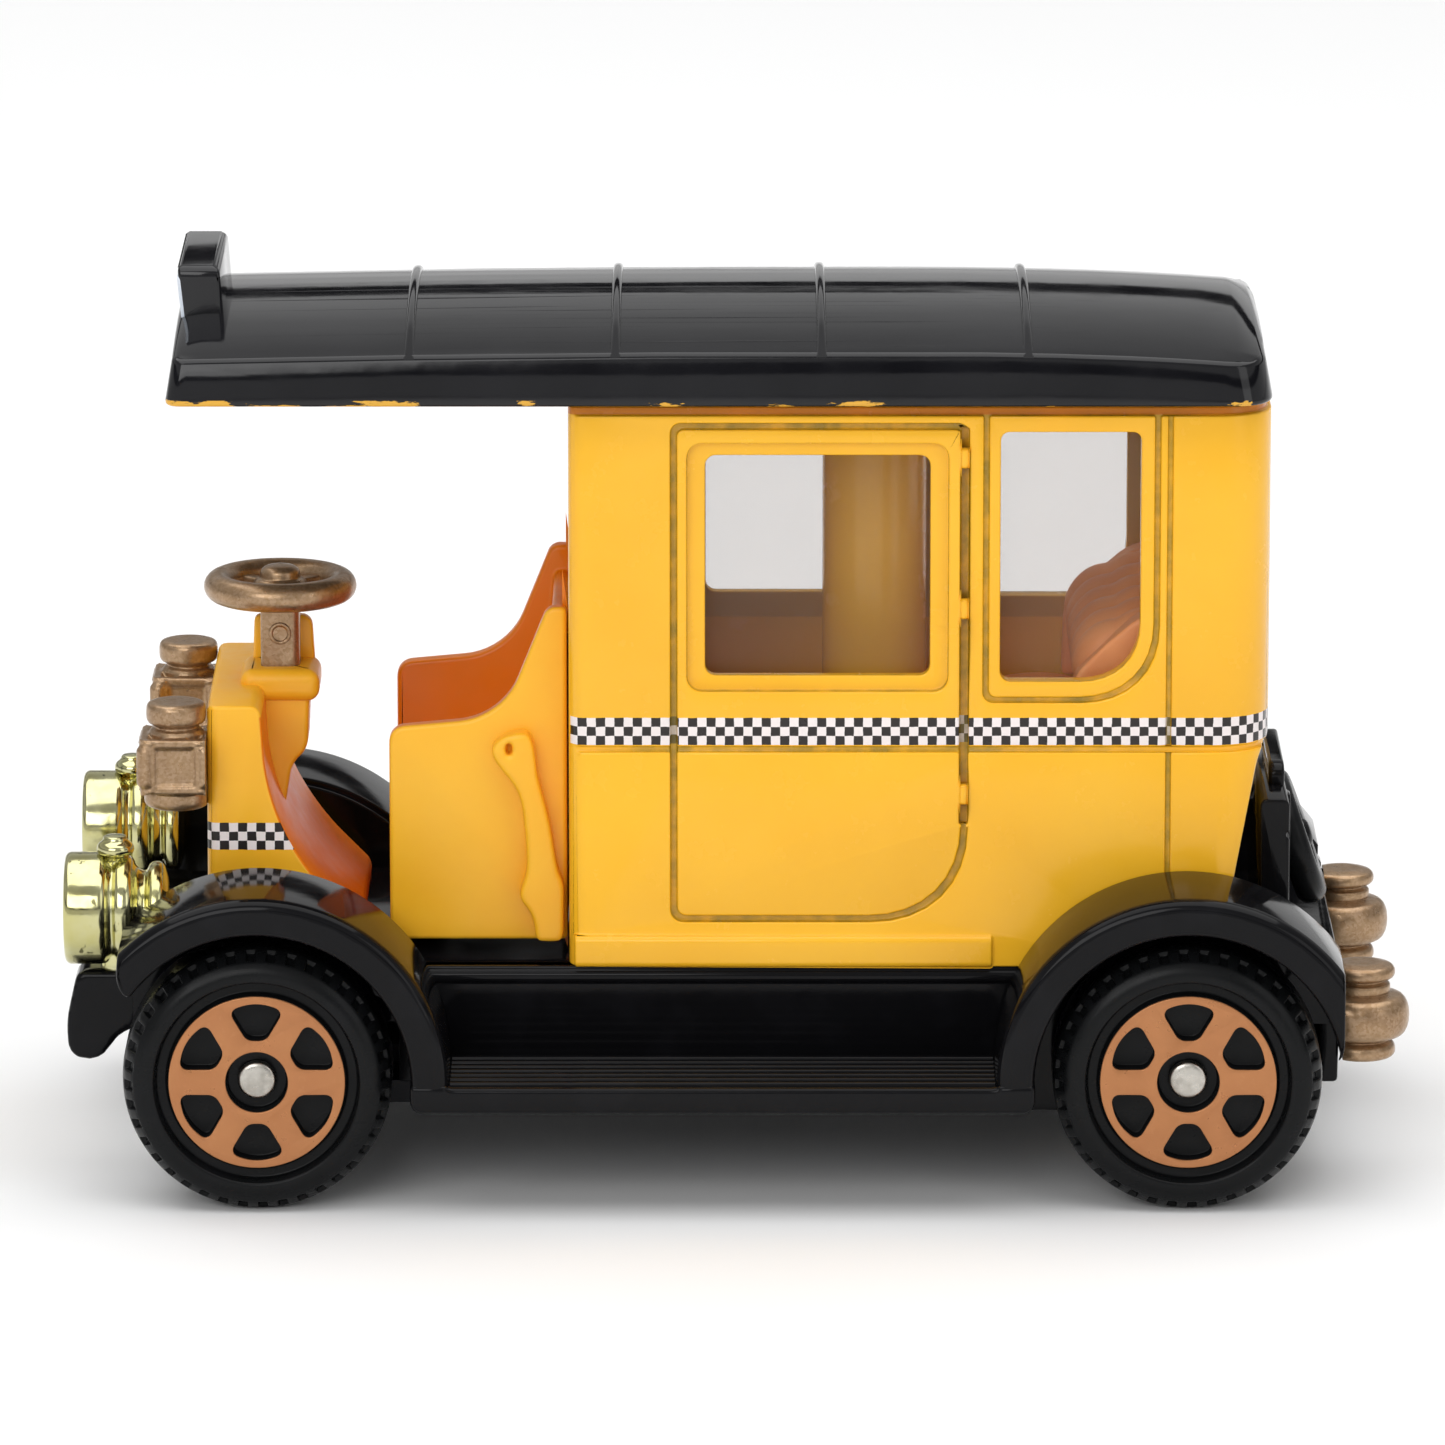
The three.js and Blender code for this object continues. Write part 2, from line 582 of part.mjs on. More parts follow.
// A fender band about a wheel: a full ring, kept only above the line through the listed corners.
function fender(side, axleX, innerY, keep) {
  const skinRadius = fenderRadius - fenderSkin;
  const ring = turnedAcross([
    [skinRadius, innerY], [fenderRadius, innerY], [fenderRadius, halfWidth - 0.5],
    [fenderRadius - 0.5, halfWidth], [fenderLipRadius, halfWidth],
    [fenderLipRadius, halfWidth - fenderSkin], [skinRadius, halfWidth - fenderSkin], [skinRadius, innerY],
  ], [axleX, axleZ], 40);
  const placed = side > 0 ? ring : mirrored(ring);
  return placed.intersect(acrossCar(keep, [-halfWidth - 1, halfWidth + 1]));
}

const mirrored = (body) => body.mirror([0, 1, 0]);

// The closed wall between a wheel and the chassis, from the fender down to just above the axle.
function wheelWall(side, axleX, outerY, keep) {
  const wall = onSide(side, [sillOuter - sillThickness, outerY]);
  return rodAcross(fenderRadius - 0.1, [axleX, axleZ], wall, 40)
    .intersect(acrossCar(keep, [-halfWidth, halfWidth]));
}

const hornTop = deckTop - 0.35;

function fenderFrame() {
  const far = fenderRadius + 1;
  const boardFrontX = frontAxleX + fenderLipRadius;
  const boardRearX = rearAxleX - fenderLipRadius;
  const frontKeep = outline([
    [frontAxleX - 5.6, axleZ + 3.7], [frontAxleX, axleZ + 2], [frontAxleX + far, axleZ - 0.6],
    [frontAxleX + far, axleZ + far], [frontAxleX - far, axleZ + far], [frontAxleX - far, axleZ + 7],
    [frontAxleX - 6.0, axleZ + 6.3], [frontAxleX - 6.1, axleZ + 4.4],
  ]);
  const rearKeep = outline([
    [rearAxleX - far, axleZ - 0.6], [rearAxleX, axleZ], [rearAxleX + 6.65, axleZ + 1.9],
    [rearAxleX + 6.65, axleZ + far], [rearAxleX - far, axleZ + far],
  ]);
  const wallKeep = rectangle([frontAxleX - 5.6, frontAxleX + far], [axleZ + 1.5, axleZ + far]);
  const rearWallKeep = rectangle([rearAxleX - far, rearDeckX], [axleZ + 1.5, axleZ + far]);
  const rearInnerY = cabHalfWidth + seatedGap;
  const cabSpace = cabBlock(-seatedGap);
  const pieces = [];
  for (const side of [-1, 1]) {
    pieces.push(cut(fender(side, frontAxleX, fenderInnerY, frontKeep), headlampBody(side, seatedGap)));
    pieces.push(fender(side, rearAxleX, rearInnerY, rearKeep));
    pieces.push(cut(wheelWall(side, frontAxleX, sillOuter, wallKeep), headlampBody(side, seatedGap)));
    pieces.push(cut(wheelWall(side, rearAxleX, rearInnerY + 0.2, rearWallKeep), cabSpace));
    pieces.push(block([boardFrontX, boardRearX], onSide(side, [sillOuter - sillThickness, sillOuter]),
      [boardBottom, deckTop]));
    pieces.push(block([boardFrontX, boardRearX], onSide(side, [sillOuter - 0.2, halfWidth]),
      [boardBottom, boardTop]));
    // The fender legs run down to the board on its outer face.
    pieces.push(block([boardFrontX, boardFrontX + fenderLip], onSide(side, [fenderInnerY, halfWidth]),
      [boardBottom, axleZ]));
    pieces.push(block([boardRearX - fenderLip, boardRearX], onSide(side, [fenderInnerY, halfWidth]),
      [boardBottom, axleZ]));
    for (let i = 0; i < boardRibCount; i += 1) {
      const y = sillOuter + 0.9 + i * (halfWidth - sillOuter - 1.4) / (boardRibCount - 1);
      pieces.push(block([boardFrontX + 1, boardRearX - 1], onSide(side, [y - 0.2, y + 0.2]),
        [boardTop - 0.2, boardTop + boardRibHeight]));
    }
    const horn = outline([
      [frontDeckX - 0.2, deckTop - 2.8], [frontDeckX - 1.8, deckTop - 4.3, 0.8],
      [frontDeckX - 3.4, deckTop - 4.2, 0.8], [-halfLength + 0.3, deckTop - 1.4, 0.8],
      [-halfLength + 0.8, hornTop, 0.4], [frontDeckX - 0.2, hornTop],
    ]);
    pieces.push(acrossCar(horn, onSide(side, [headlampSpread - 1.1, headlampSpread + 1.1])));
  }
  const deck = block([frontDeckX, rearDeckX], [-sillOuter + 0.1, sillOuter - 0.1],
    [deckTop - deckThickness, deckTop]);
  const nose = block([frontDeckX - 0.8, frontDeckX + 0.2], [-sillOuter, sillOuter], [baseTop + 0.5, hornTop]);
  const apron = block([rearDeckX - 0.8, rearDeckX], [-sillOuter, sillOuter], [baseTop + 0.1, deckTop]);
  const bay = block([pillars[1].x - pillarRadius - 0.9, rearAxleX + plateMargin + seatedGap],
    [-motorHalfWidth - 0.3, motorHalfWidth + 0.3], [deckTop - 2, deckTop + 1]);
  const gearSlot = block([rearAxleX, rearAxleX + axleGearTipRadius + 0.3],
    [axleGearY - 0.3, axleGearY + gearWidth + 0.3], [deckTop - 2, deckTop + 1]);
  const postHole = rodUpright(postRadius + seatedGap, [postX, 0], [deckTop - 2, deckTop + 1]);
  const rivetHole = rodUpright(rivetShankRadius + seatedGap, [frontRivetX, 0], [deckTop - 2, deckTop + 1]);
  return cut(join(...pieces, deck, nose, apron), bay, gearSlot, postHole, rivetHole);
}

// ---- Base plate with the front axle block, and the rivets through it ----

const rivetShankRadius = 1.1;
const rivetShankLength = 3.0;
const rivetHeadRadius = 1.9;
const rivetHeadHeight = 0.45;
const rivetHeadSunk = 0.05; // the heads stay just above the underside
const frontRivetX = tubFrontX + tubLength / 2;

function basePlate() {
  const half = sillOuter - sillThickness - seatedGap;
  const plate = upwards(rectangle([frontDeckX + 0.3, rearDeckX - 0.9], [-half, half], [1, 1, 1, 1]),
    [baseBottom, baseTop]);
  const bearer = block([frontAxleX - 1.6, frontAxleX + 1.6], [-half + 0.4, half - 0.4],
    [baseTop - 0.2, axleZ + 1.5]);
  const spacer = rodUpright(2.2, [frontRivetX, 0], [baseTop - 0.2, deckTop - deckThickness]);
  const ribs = [-1, 1].map((side) => block([frontAxleX + 1.5, postX], onSide(side, [4.6, 5.2]),
    [baseTop - 0.2, baseTop + 0.8]));
  const slot = block([idlerX - idlerTipRadius - 0.4, rearAxleX + axleGearTipRadius + 0.4],
    [axleGearY - 0.3, idlerGearY + gearWidth + 0.3], [baseBottom - 1, baseTop + 1]);
  const bore = rodAcross(axleRadius + runningGap, [frontAxleX, axleZ], [-halfWidth, halfWidth]);
  const holes = [frontRivetX, postX].flatMap((x) => [
    rodUpright(rivetShankRadius + seatedGap, [x, 0], [baseBottom - 1, deckTop + 1]),
    rodUpright(rivetHeadRadius + seatedGap, [x, 0],
      [baseBottom - 1, baseBottom + rivetHeadSunk + rivetHeadHeight + seatedGap]),
  ]);
  return cut(join(plate, bearer, spacer, ...ribs), slot, bore, ...holes);
}

function rivet(x, top) {
  const low = baseBottom + rivetHeadSunk;
  const shoulder = low + rivetHeadHeight;
  return turnedUpright([
    [0, low], [rivetHeadRadius - 0.3, low], [rivetHeadRadius, low + 0.25],
    [rivetHeadRadius, shoulder], [rivetShankRadius, shoulder], [rivetShankRadius, top], [0, top],
  ], [x, 0]);
}

// ---- Trunk box, rack loop and spare wheel on the rear deck ----

const trunkRearX = rearDeckX - 2.2;
const trunkFrontX = trunkRearX - 1.3;
const trunkTop = deckTop + 6.9;
const trunkHalf = 6.6;

function trunkBox() {
  const side = outline([
    [trunkFrontX - 1.2, deckTop], [trunkRearX, deckTop],
    [trunkRearX, trunkTop, 0.3], [trunkFrontX, trunkTop, 0.3],
  ]);
  return cut(acrossCar(side, [-trunkHalf, trunkHalf]), cabBlock(-seatedGap));
}

function rackLoop() {
  const wide = trunkHalf - 1.6;
  const rise = 1.9;
  const frame = rectangle([-wide, wide], [trunkTop, trunkTop + rise], [0, 0, 0.9, 0.9]);
  frame.holes.push(rectangle([-wide + 0.6, wide - 0.6], [trunkTop + 0.4, trunkTop + rise - 0.5],
    [0.3, 0.3, 0.5, 0.5]));
  return alongCar(frame, [trunkRearX - 0.8, trunkRearX - 0.1]);
}

function spareWheel() {
  const outer = 3.2;
  const tube = 0.7;
  const lean = 8 * Math.PI / 180;
  const profile = [
    [0, -0.35], [outer - 1.9, -0.35], [outer - 1.6, -tube], [outer - 0.45, -tube], [outer, -0.4],
    [outer, 0.4], [outer - 0.45, tube], [outer - 1.6, tube], [outer - 1.9, 0.35], [0.7, 0.35],
    [0.6, 0.8], [0, 0.8],
  ];
  const geometry = turned(profile, coarse).rotateZ(-Math.PI / 2).rotateY(-lean);
  const rise = outer * Math.cos(lean) + tube * Math.sin(lean);
  return solid(geometry.translate(trunkRearX + 0.1 + outer * Math.sin(lean) + tube, 0,
    deckTop + rise + seatedGap));
}

// ---- Wheels and axles ----

function wheel(side, centre) {
  const face = wheelFaceY;
  const back = wheelBackY;
  const profile = [
    [boreRadius, back], [wheelRadius - 0.4, back], [wheelRadius, back + 0.45], [wheelRadius, face - 0.9],
    [wheelRadius - 0.45, face - 0.25], [sidewallRadius, face], [sidewallRadius, face - 0.6],
    [discRadius, face - 0.6], [discRadius, face - 0.2], [hubRecessRadius, face - 0.2],
    [hubRecessRadius, face - hubRecessDepth], [boreRadius, face - hubRecessDepth], [boreRadius, back],
  ];
  const blank = turnedAcross(profile, centre, 36);
  const pocket = outline([
    [-0.45, pocketInnerRadius, 0.4], [0.45, pocketInnerRadius, 0.4],
    [1.2, pocketOuterRadius - 0.15, 0.35], [0, pocketOuterRadius + 0.15, 0.8],
    [-1.2, pocketOuterRadius - 0.15, 0.35],
  ]);
  const cutters = Array.from({ length: pocketCount }, (_, i) => {
    const depth = extruded(pocket, pocketDepth + 1, 1).translate(0, 0, -pocketDepth);
    const turnedPocket = depth.rotateZ(i * 2 * Math.PI / pocketCount).rotateX(Math.PI / 2).rotateZ(Math.PI);
    return solid(turnedPocket.translate(centre[0], face - 0.2, centre[1]));
  });
  const body = cut(blank, ...cutters);
  return side > 0 ? body : mirrored(body);
}

function axle(centre) {
  const seat = wheelFaceY - hubRecessDepth + runningGap;
  const end = seat + axleHeadLength;
  return turnedAcross([
    [0, -end], [axleHeadRadius - 0.25, -end], [axleHeadRadius, -seat - 0.1], [axleHeadRadius, -seat],
    [axleRadius, -seat], [axleRadius, seat], [axleHeadRadius, seat], [axleHeadRadius, seat + 0.1],
    [axleHeadRadius - 0.25, end], [0, end],
  ], centre);
}

// ---- Friction drive ----

// A gear outline about the origin, with a tooth or a tooth space on the ray at angle `phase`.
function gearShape(teeth, phase, boreOfGear) {
  const pitch = gearModule * teeth / 2;
  const base = pitch * Math.cos(pressureAngle);
  const tip = pitch + toothTip;
  const root = pitch - 1.1 * gearModule;
  const involute = (angle) => Math.tan(angle) - angle;
  const halfTooth = Math.PI / (2 * teeth) - toothBacklash / (2 * pitch);
  const flankStart = Math.max(base, root);
  const flankSteps = 2;
  const halfAngleAt = (radius) =>
    halfTooth + involute(pressureAngle) - involute(Math.acos(Math.min(1, base / radius)));
  const flank = Array.from({ length: flankSteps + 1 }, (_, i) =>
    flankStart + (tip - flankStart) * i / flankSteps);
  const points = [];
  for (let tooth = 0; tooth < teeth; tooth += 1) {
    const middle = phase + tooth * 2 * Math.PI / teeth;
    const place = (radius, angle) => points.push(
      new THREE.Vector2(radius * Math.cos(middle + angle), radius * Math.sin(middle + angle)));
    if (root < flankStart) place(root, -halfAngleAt(flankStart));
    flank.forEach((radius) => place(radius, -halfAngleAt(radius)));
    flank.toReversed().forEach((radius) => place(radius, halfAngleAt(radius)));
    if (root < flankStart) place(root, halfAngleAt(flankStart));
  }
  const shape = new THREE.Shape(points);
  if (boreOfGear > 0) {
    const hole = new THREE.Path();
    hole.absarc(0, 0, boreOfGear, 0, 2 * Math.PI, true);
    shape.holes.push(hole);
  }
  return shape;
}

const gearAt = (teeth, phase, [x, z], y0, bore) =>
  solid(extruded(gearShape(teeth, phase, bore), gearWidth, 6).rotateX(Math.PI / 2)
    .translate(x, y0 + gearWidth, z));

// Each driven pinion has a space on the line of centres where its driving gear has a tooth.
const spaceFacing = (teeth, angle) => angle + Math.PI + Math.PI / teeth;

function idler() {
  const pinion = gearAt(idlerPinionTeeth, spaceFacing(idlerPinionTeeth, idlerAngle), [idlerX, idlerZ],
    axleGearY, 0);
  const gear = gearAt(idlerGearTeeth, flywheelAngle, [idlerX, idlerZ], idlerGearY, 0);
  const neck = rodAcross(1.0, [idlerX, idlerZ], [axleGearY + gearWidth - 0.1, idlerGearY + 0.1], coarse);
  return cut(join(pinion, gear, neck),
    rodAcross(motorShaftRadius + runningGap, [idlerX, idlerZ], [-halfWidth, halfWidth], coarse));
}

function flywheel() {
  const centre = [flywheelX, flywheelZ];
  const pinion = gearAt(flywheelPinionTeeth, spaceFacing(flywheelPinionTeeth, flywheelAngle), centre,
    idlerGearY, 0);
  const end = motorInnerY - gearGap;
  const disc = turnedAcross([
    [0, idlerGearY + gearWidth - 0.1], [1.0, idlerGearY + gearWidth - 0.1], [1.0, flywheelY],
    [flywheelRadius - 0.3, flywheelY], [flywheelRadius, flywheelY + 0.3], [flywheelRadius, end - 0.3],
    [flywheelRadius - 0.3, end], [0, end],
  ], centre, 32);
  return cut(join(pinion, disc),
    rodAcross(motorShaftRadius + runningGap, centre, [-halfWidth, halfWidth], coarse));
}

function motorPlate(side) {
  const [upper, lower] = pillars;
  const shape = outline([
    [lower.x - 1.0, baseTop], [rearAxleX + plateMargin, baseTop], [rearAxleX + plateMargin, axleZ + 1.6, 1.2],
    [upper.x + 0.75, upper.z - 1.0, 0.6], [upper.x + 0.75, upper.z + 0.8, 0.6],
    [flywheelX + 1.6, flywheelZ + 1.6, 1.2], [flywheelX - 1.6, flywheelZ + 1.6, 1.2],
    [lower.x - 1.0, lower.z + 0.9, 0.8],
  ]);
  const plate = acrossCar(shape, onSide(side, [motorInnerY, motorHalfWidth]));
  const cabShell = cut(cabBlock(-seatedGap), cabBlock(cabWall + seatedGap));
  return cut(plate, rodAcross(boreRadius, [rearAxleX, axleZ], [-halfWidth, halfWidth]), cabShell);
}

// ---- The car ----

add('cab_casting', cabCasting(), cabPaint);
add('window_glazing', windowGlazing(), smokedClear);
add('front_body', frontBody(), yellowPlastic);
add('rear_seat', rearSeat(), yellowPlastic);
add('steering_wheel', steeringWheel(), bronzePaint);
add('fender_frame', fenderFrame(), glossBlack);
add('base_plate', basePlate(), mattBlack);
add('trunk_box', trunkBox(), glossBlack);
add('rack_loop', rackLoop(), glossBlack);
add('spare_wheel', spareWheel(), glossBlack);
add('front_rivet', rivet(frontRivetX, deckTop + 0.4), zinc);
add('rear_rivet', rivet(postX, baseTop + rivetShankLength), zinc);

for (const [word, side] of [['left', -1], ['right', 1]]) {
  add(`headlamp_${word}`, headlamp(side), goldChrome);
  add(`cowl_lamp_${word}`, cowlLamp(side), bronzePaint);
  add(`rear_lamp_${word}`, rearLamp(side), bronzePaint);
  add(`front_wheel_${word}`, wheel(side, [frontAxleX, axleZ]), tyreBlack);
  add(`rear_wheel_${word}`, wheel(side, [rearAxleX, axleZ]), tyreBlack);
  add(`motor_plate_${word}`, motorPlate(side), steel);
}

add('front_axle', axle([frontAxleX, axleZ]), steel);
add('rear_axle', axle([rearAxleX, axleZ]), steel);
add('axle_gear', gearAt(axleGearTeeth, idlerAngle, [rearAxleX, axleZ], axleGearY, boreRadius), whitePlastic);
add('idler_gear', idler(), whitePlastic);
add('flywheel', flywheel(), steel);
add('idler_shaft', rodAcross(motorShaftRadius, [idlerX, idlerZ], [-motorInnerY, motorInnerY], coarse), steel);
add('flywheel_shaft', rodAcross(motorShaftRadius, [flywheelX, flywheelZ], [-motorInnerY, motorInnerY],
  coarse), steel);
pillars.forEach(({ x, z }, i) => {
  add(['motor_pillar_rear', 'motor_pillar_front'][i],
    rodAcross(pillarRadius, [x, z], [-motorInnerY, motorInnerY], coarse), steel);
});

export default car;
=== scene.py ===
# %% [markdown]
# # A pocket-size vintage taxi
# This lesson builds the visible skin of a small die-cast taxi with a friction drive. The frame that
# is loaded first holds the car's engineered solids. Every size below is in millimetres and is either
# measured from one of those solids or named where it is first used. The car drives towards -X, its
# left side is -Y, and its wheels stand on Z = 0.

# %% Load the frame
import math

import bpy
from mathutils import Matrix, Vector


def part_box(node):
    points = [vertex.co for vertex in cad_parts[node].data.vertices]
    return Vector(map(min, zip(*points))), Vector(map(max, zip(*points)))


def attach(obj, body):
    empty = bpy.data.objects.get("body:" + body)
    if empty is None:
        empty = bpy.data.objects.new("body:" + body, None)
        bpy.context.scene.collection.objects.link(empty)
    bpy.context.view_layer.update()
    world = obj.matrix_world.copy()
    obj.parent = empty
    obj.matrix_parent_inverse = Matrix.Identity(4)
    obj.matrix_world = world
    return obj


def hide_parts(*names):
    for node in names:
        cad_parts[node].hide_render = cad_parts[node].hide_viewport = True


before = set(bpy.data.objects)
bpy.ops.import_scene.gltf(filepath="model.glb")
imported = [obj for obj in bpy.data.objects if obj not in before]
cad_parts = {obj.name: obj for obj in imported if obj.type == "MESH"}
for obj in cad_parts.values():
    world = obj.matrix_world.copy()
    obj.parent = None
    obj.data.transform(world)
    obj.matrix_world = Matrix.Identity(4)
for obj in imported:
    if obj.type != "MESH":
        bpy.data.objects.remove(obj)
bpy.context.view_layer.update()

MM = 0.001


def measured(node):
    """The lowest and highest corner of a CAD node, in millimetres."""
    low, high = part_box(node)
    return Vector(low) / MM, Vector(high) / MM


cab_low, cab_high = measured("cab_casting")
front_low, front_high = measured("front_body")
chassis_low, chassis_high = measured("fender_frame")

# %% [markdown]
# The camera stands a long way off with a long lens, so the car is seen from its left side, a little
# from above, and almost without perspective. The length of the lens follows from the distance and from
# the width that the view should have at the car's middle.

# %% Camera
CAMERA_DISTANCE = 520.0
CAMERA_HEIGHT_ANGLE = math.radians(13.0)
CAMERA_TARGET = Vector((-0.52, 0.0, 18.74))
FRAME_WIDTH = 64.22  # width of the view at the car's middle

camera_data = bpy.data.cameras.new("shelf_camera")
camera = bpy.data.objects.new("shelf_camera", camera_data)
bpy.context.scene.collection.objects.link(camera)
back_off = Vector((0.0, -math.cos(CAMERA_HEIGHT_ANGLE), math.sin(CAMERA_HEIGHT_ANGLE)))
camera.location = (CAMERA_TARGET + CAMERA_DISTANCE * back_off) * MM
camera.rotation_euler = (math.pi / 2 - CAMERA_HEIGHT_ANGLE, 0.0, 0.0)
camera_data.sensor_width = 36.0
camera_data.lens = camera_data.sensor_width * CAMERA_DISTANCE / FRAME_WIDTH
camera_data.clip_start = 0.01
camera_data.clip_end = 20.0
bpy.context.scene.camera = camera
print("lens:", round(camera_data.lens, 1), "mm")

# %% [markdown]
# Every finish here is a small node tree on Object coordinates, so it needs no unwrapping and doesn't
# slide when a wheel turns. One helper lays down what all of them share: a colour that drifts softly
# over the piece, a roughness that varies a little, and a fine bump for the skin of the material.

# %% Helpers for finishes


def srgb(red, green, blue):
    """A colour given as it looks on screen, 0 to 255, turned into the linear light that shaders use."""
    def linear(value):
        value /= 255.0
        return value / 12.92 if value <= 0.04045 else ((value + 0.055) / 1.055) ** 2.4
    return (linear(red), linear(green), linear(blue), 1.0)


class Finish:
    """A material under construction: its tree, its Principled shader, and the current colour socket."""

    def __init__(self, name, colour, roughness, metallic=0.0, coat=0.0, specular=0.5):
        self.material = bpy.data.materials.new(name)
        self.material.use_nodes = True
        self.tree = self.material.node_tree
        self.shader = self.tree.nodes["Principled BSDF"]
        self.shader.inputs["Base Color"].default_value = colour
        self.shader.inputs["Roughness"].default_value = roughness
        self.shader.inputs["Metallic"].default_value = metallic
        self.shader.inputs["Coat Weight"].default_value = coat
        self.shader.inputs["Coat Roughness"].default_value = 0.04
        self.shader.inputs["Specular IOR Level"].default_value = specular
        self.place = self.tree.nodes.new("ShaderNodeTexCoord").outputs["Object"]
        self.colour = None
        self.height = None

    def node(self, kind, **settings):
        made = self.tree.nodes.new(kind)
        for key, value in settings.items():
            setattr(made, key, value)
        return made

    def link(self, source, target):
        self.tree.links.new(source, target)

    def math(self, operation, first, second=0.0, third=0.0):
        made = self.node("ShaderNodeMath", operation=operation)
        for socket, value in zip(made.inputs, (first, second, third)):
            if isinstance(value, bpy.types.NodeSocket):
                self.link(value, socket)
            else:
                socket.default_value = value
        return made.outputs[0]

    def noise(self, size, detail=3.0, roughness=0.5, stretch=(1.0, 1.0, 1.0)):
        """Cloudy noise whose blotches are about `size` millimetres across."""
        mapping = self.node("ShaderNodeMapping")
        mapping.inputs["Scale"].default_value = stretch
        self.link(self.place, mapping.inputs["Vector"])
        made = self.node("ShaderNodeTexNoise")
        made.inputs["Scale"].default_value = 1.0 / (size * MM)
        made.inputs["Detail"].default_value = detail
        made.inputs["Roughness"].default_value = roughness
        self.link(mapping.outputs["Vector"], made.inputs["Vector"])
        return made.outputs["Fac"]

    def spread(self, source, low, high, start=0.3, end=0.7):
        """Maps a noise value from start..end to low..high."""
        made = self.node("ShaderNodeMapRange", clamp=True)
        self.link(source, made.inputs["Value"])
        for key, value in (("From Min", start), ("From Max", end), ("To Min", low), ("To Max", high)):
            made.inputs[key].default_value = value
        return made.outputs["Result"]

    def blend(self, amount, colour):
        """Lays a colour over what is there already, by a value from 0 to 1."""
        made = self.node("ShaderNodeMix", data_type="RGBA")
        self.link(amount, made.inputs[0])
        if self.colour is None:
            made.inputs[6].default_value = self.shader.inputs["Base Color"].default_value[:]
        else:
            self.link(self.colour, made.inputs[6])
        made.inputs[7].default_value = colour
        self.colour = made.outputs[2]

    def drift(self, colour, size, detail=3.0, start=0.35, end=0.7, strength=1.0):
        self.blend(self.spread(self.noise(size, detail), 0.0, strength, start, end), colour)

    def rough(self, low, high, size, stretch=(1.0, 1.0, 1.0)):
        clouds = self.noise(size, 4.0, 0.6, stretch)
        self.link(self.spread(clouds, low, high), self.shader.inputs["Roughness"])

    def raise_by(self, source, height):
        """Adds a bump of `height` millimetres where the source is 1."""
        scaled = self.math("MULTIPLY", source, height)
        self.height = scaled if self.height is None else self.math("ADD", self.height, scaled)

    def done(self):
        if self.colour is not None:
            self.link(self.colour, self.shader.inputs["Base Color"])
        if self.height is not None:
            bump = self.node("ShaderNodeBump")
            bump.inputs["Strength"].default_value = 1.0
            bump.inputs["Distance"].default_value = MM
            self.link(self.height, bump.inputs["Height"])
            self.link(bump.outputs["Normal"], self.shader.inputs["Normal"])
        print("finish:", self.material.name)
        return self.material

# %% [markdown]
# The casting is sprayed with a warm yellow enamel. Enamel on a small casting is thin on sharp edges
# and gathers in the grooves, and it dries with a faint orange-peel skin. The chequered belt is printed
# on the paint: three rows of small squares that run round the cab at one height. The rows come from
# the height, and the columns from an attribute named `run`, the distance travelled round the cab,
# which a later cell stores on the mesh so that the squares keep their size on the rounded corners.
# A second attribute, `hollow`, marks the channels, which are painted a darker olive: partly thin paint that
# lets the darker metal through, partly painted shade in the grooves. The last thin strip under the roof is
# painted orange as painted shade, where the black roof shades the casting.

# %% Yellow enamel with a chequered belt
DECK_TOP = front_low.z
SQUARE_WIDTH = 0.402
SQUARE_HEIGHT = 0.405
SQUARE_ROWS = 3
INK = srgb(38, 32, 30)
BELT_WHITE = srgb(246, 236, 234)


def chequers(finish, bottom):
    """Prints rows of squares on a finish, where the mesh's run attribute is above zero."""
    run = finish.node("ShaderNodeAttribute", attribute_name="run").outputs["Fac"]
    height = finish.node("ShaderNodeSeparateXYZ")
    finish.link(finish.place, height.inputs[0])
    rise = finish.math("SUBTRACT", finish.math("DIVIDE", height.outputs["Z"], MM), bottom)
    wobble = finish.math("MULTIPLY_ADD", finish.noise(0.35, 2.0), 0.05, -0.025)
    column = finish.math("FLOOR", finish.math("DIVIDE", finish.math("ADD", run, wobble), SQUARE_WIDTH))
    row = finish.math("FLOOR", finish.math("DIVIDE", finish.math("ADD", rise, wobble), SQUARE_HEIGHT))
    odd = finish.math("MODULO", finish.math("ADD", column, finish.math("ADD", row, 100.0)), 2.0)
    above = finish.math("GREATER_THAN", finish.math("ADD", rise, wobble), 0.0)
    below = finish.math("LESS_THAN", finish.math("ADD", rise, wobble), SQUARE_ROWS * SQUARE_HEIGHT)
    in_rows = finish.math("MULTIPLY", above, below)
    printed = finish.math("MULTIPLY", in_rows, finish.math("GREATER_THAN", run, 0.0))
    finish.blend(printed, BELT_WHITE)
    finish.blend(finish.math("MULTIPLY", printed, finish.math("GREATER_THAN", odd, 0.5)), INK)


BELT_BOTTOM = DECK_TOP + 9.98
CASTING_SHADE = (DECK_TOP + 24.62) * MM
enamel = Finish("cab_enamel", srgb(249, 184, 36), 0.2, coat=0.12, specular=0.35)
enamel.drift(srgb(253, 192, 46), 9.0)
enamel.drift(srgb(242, 176, 32), 2.2, 4.0, 0.5, 0.8, 0.15)
chequers(enamel, BELT_BOTTOM)
# Painted shade mixed with thin paint: the channel faces are blended towards a dark olive.
hollow = enamel.node("ShaderNodeAttribute", attribute_name="hollow").outputs["Fac"]
thin_paint_and_shade = enamel.spread(enamel.noise(0.8, 3.0), 0.3, 0.85)
enamel.blend(enamel.math("MULTIPLY", hollow, thin_paint_and_shade), srgb(146, 124, 40))
under_roof = enamel.node("ShaderNodeSeparateXYZ")
enamel.link(enamel.place, under_roof.inputs[0])
enamel.blend(enamel.spread(under_roof.outputs["Z"], 0.0, 0.85, CASTING_SHADE, CASTING_SHADE + 0.05 * MM),
             srgb(206, 112, 20))
enamel.rough(0.16, 0.3, 1.6)
enamel.raise_by(enamel.noise(0.7, 2.0), 0.006)
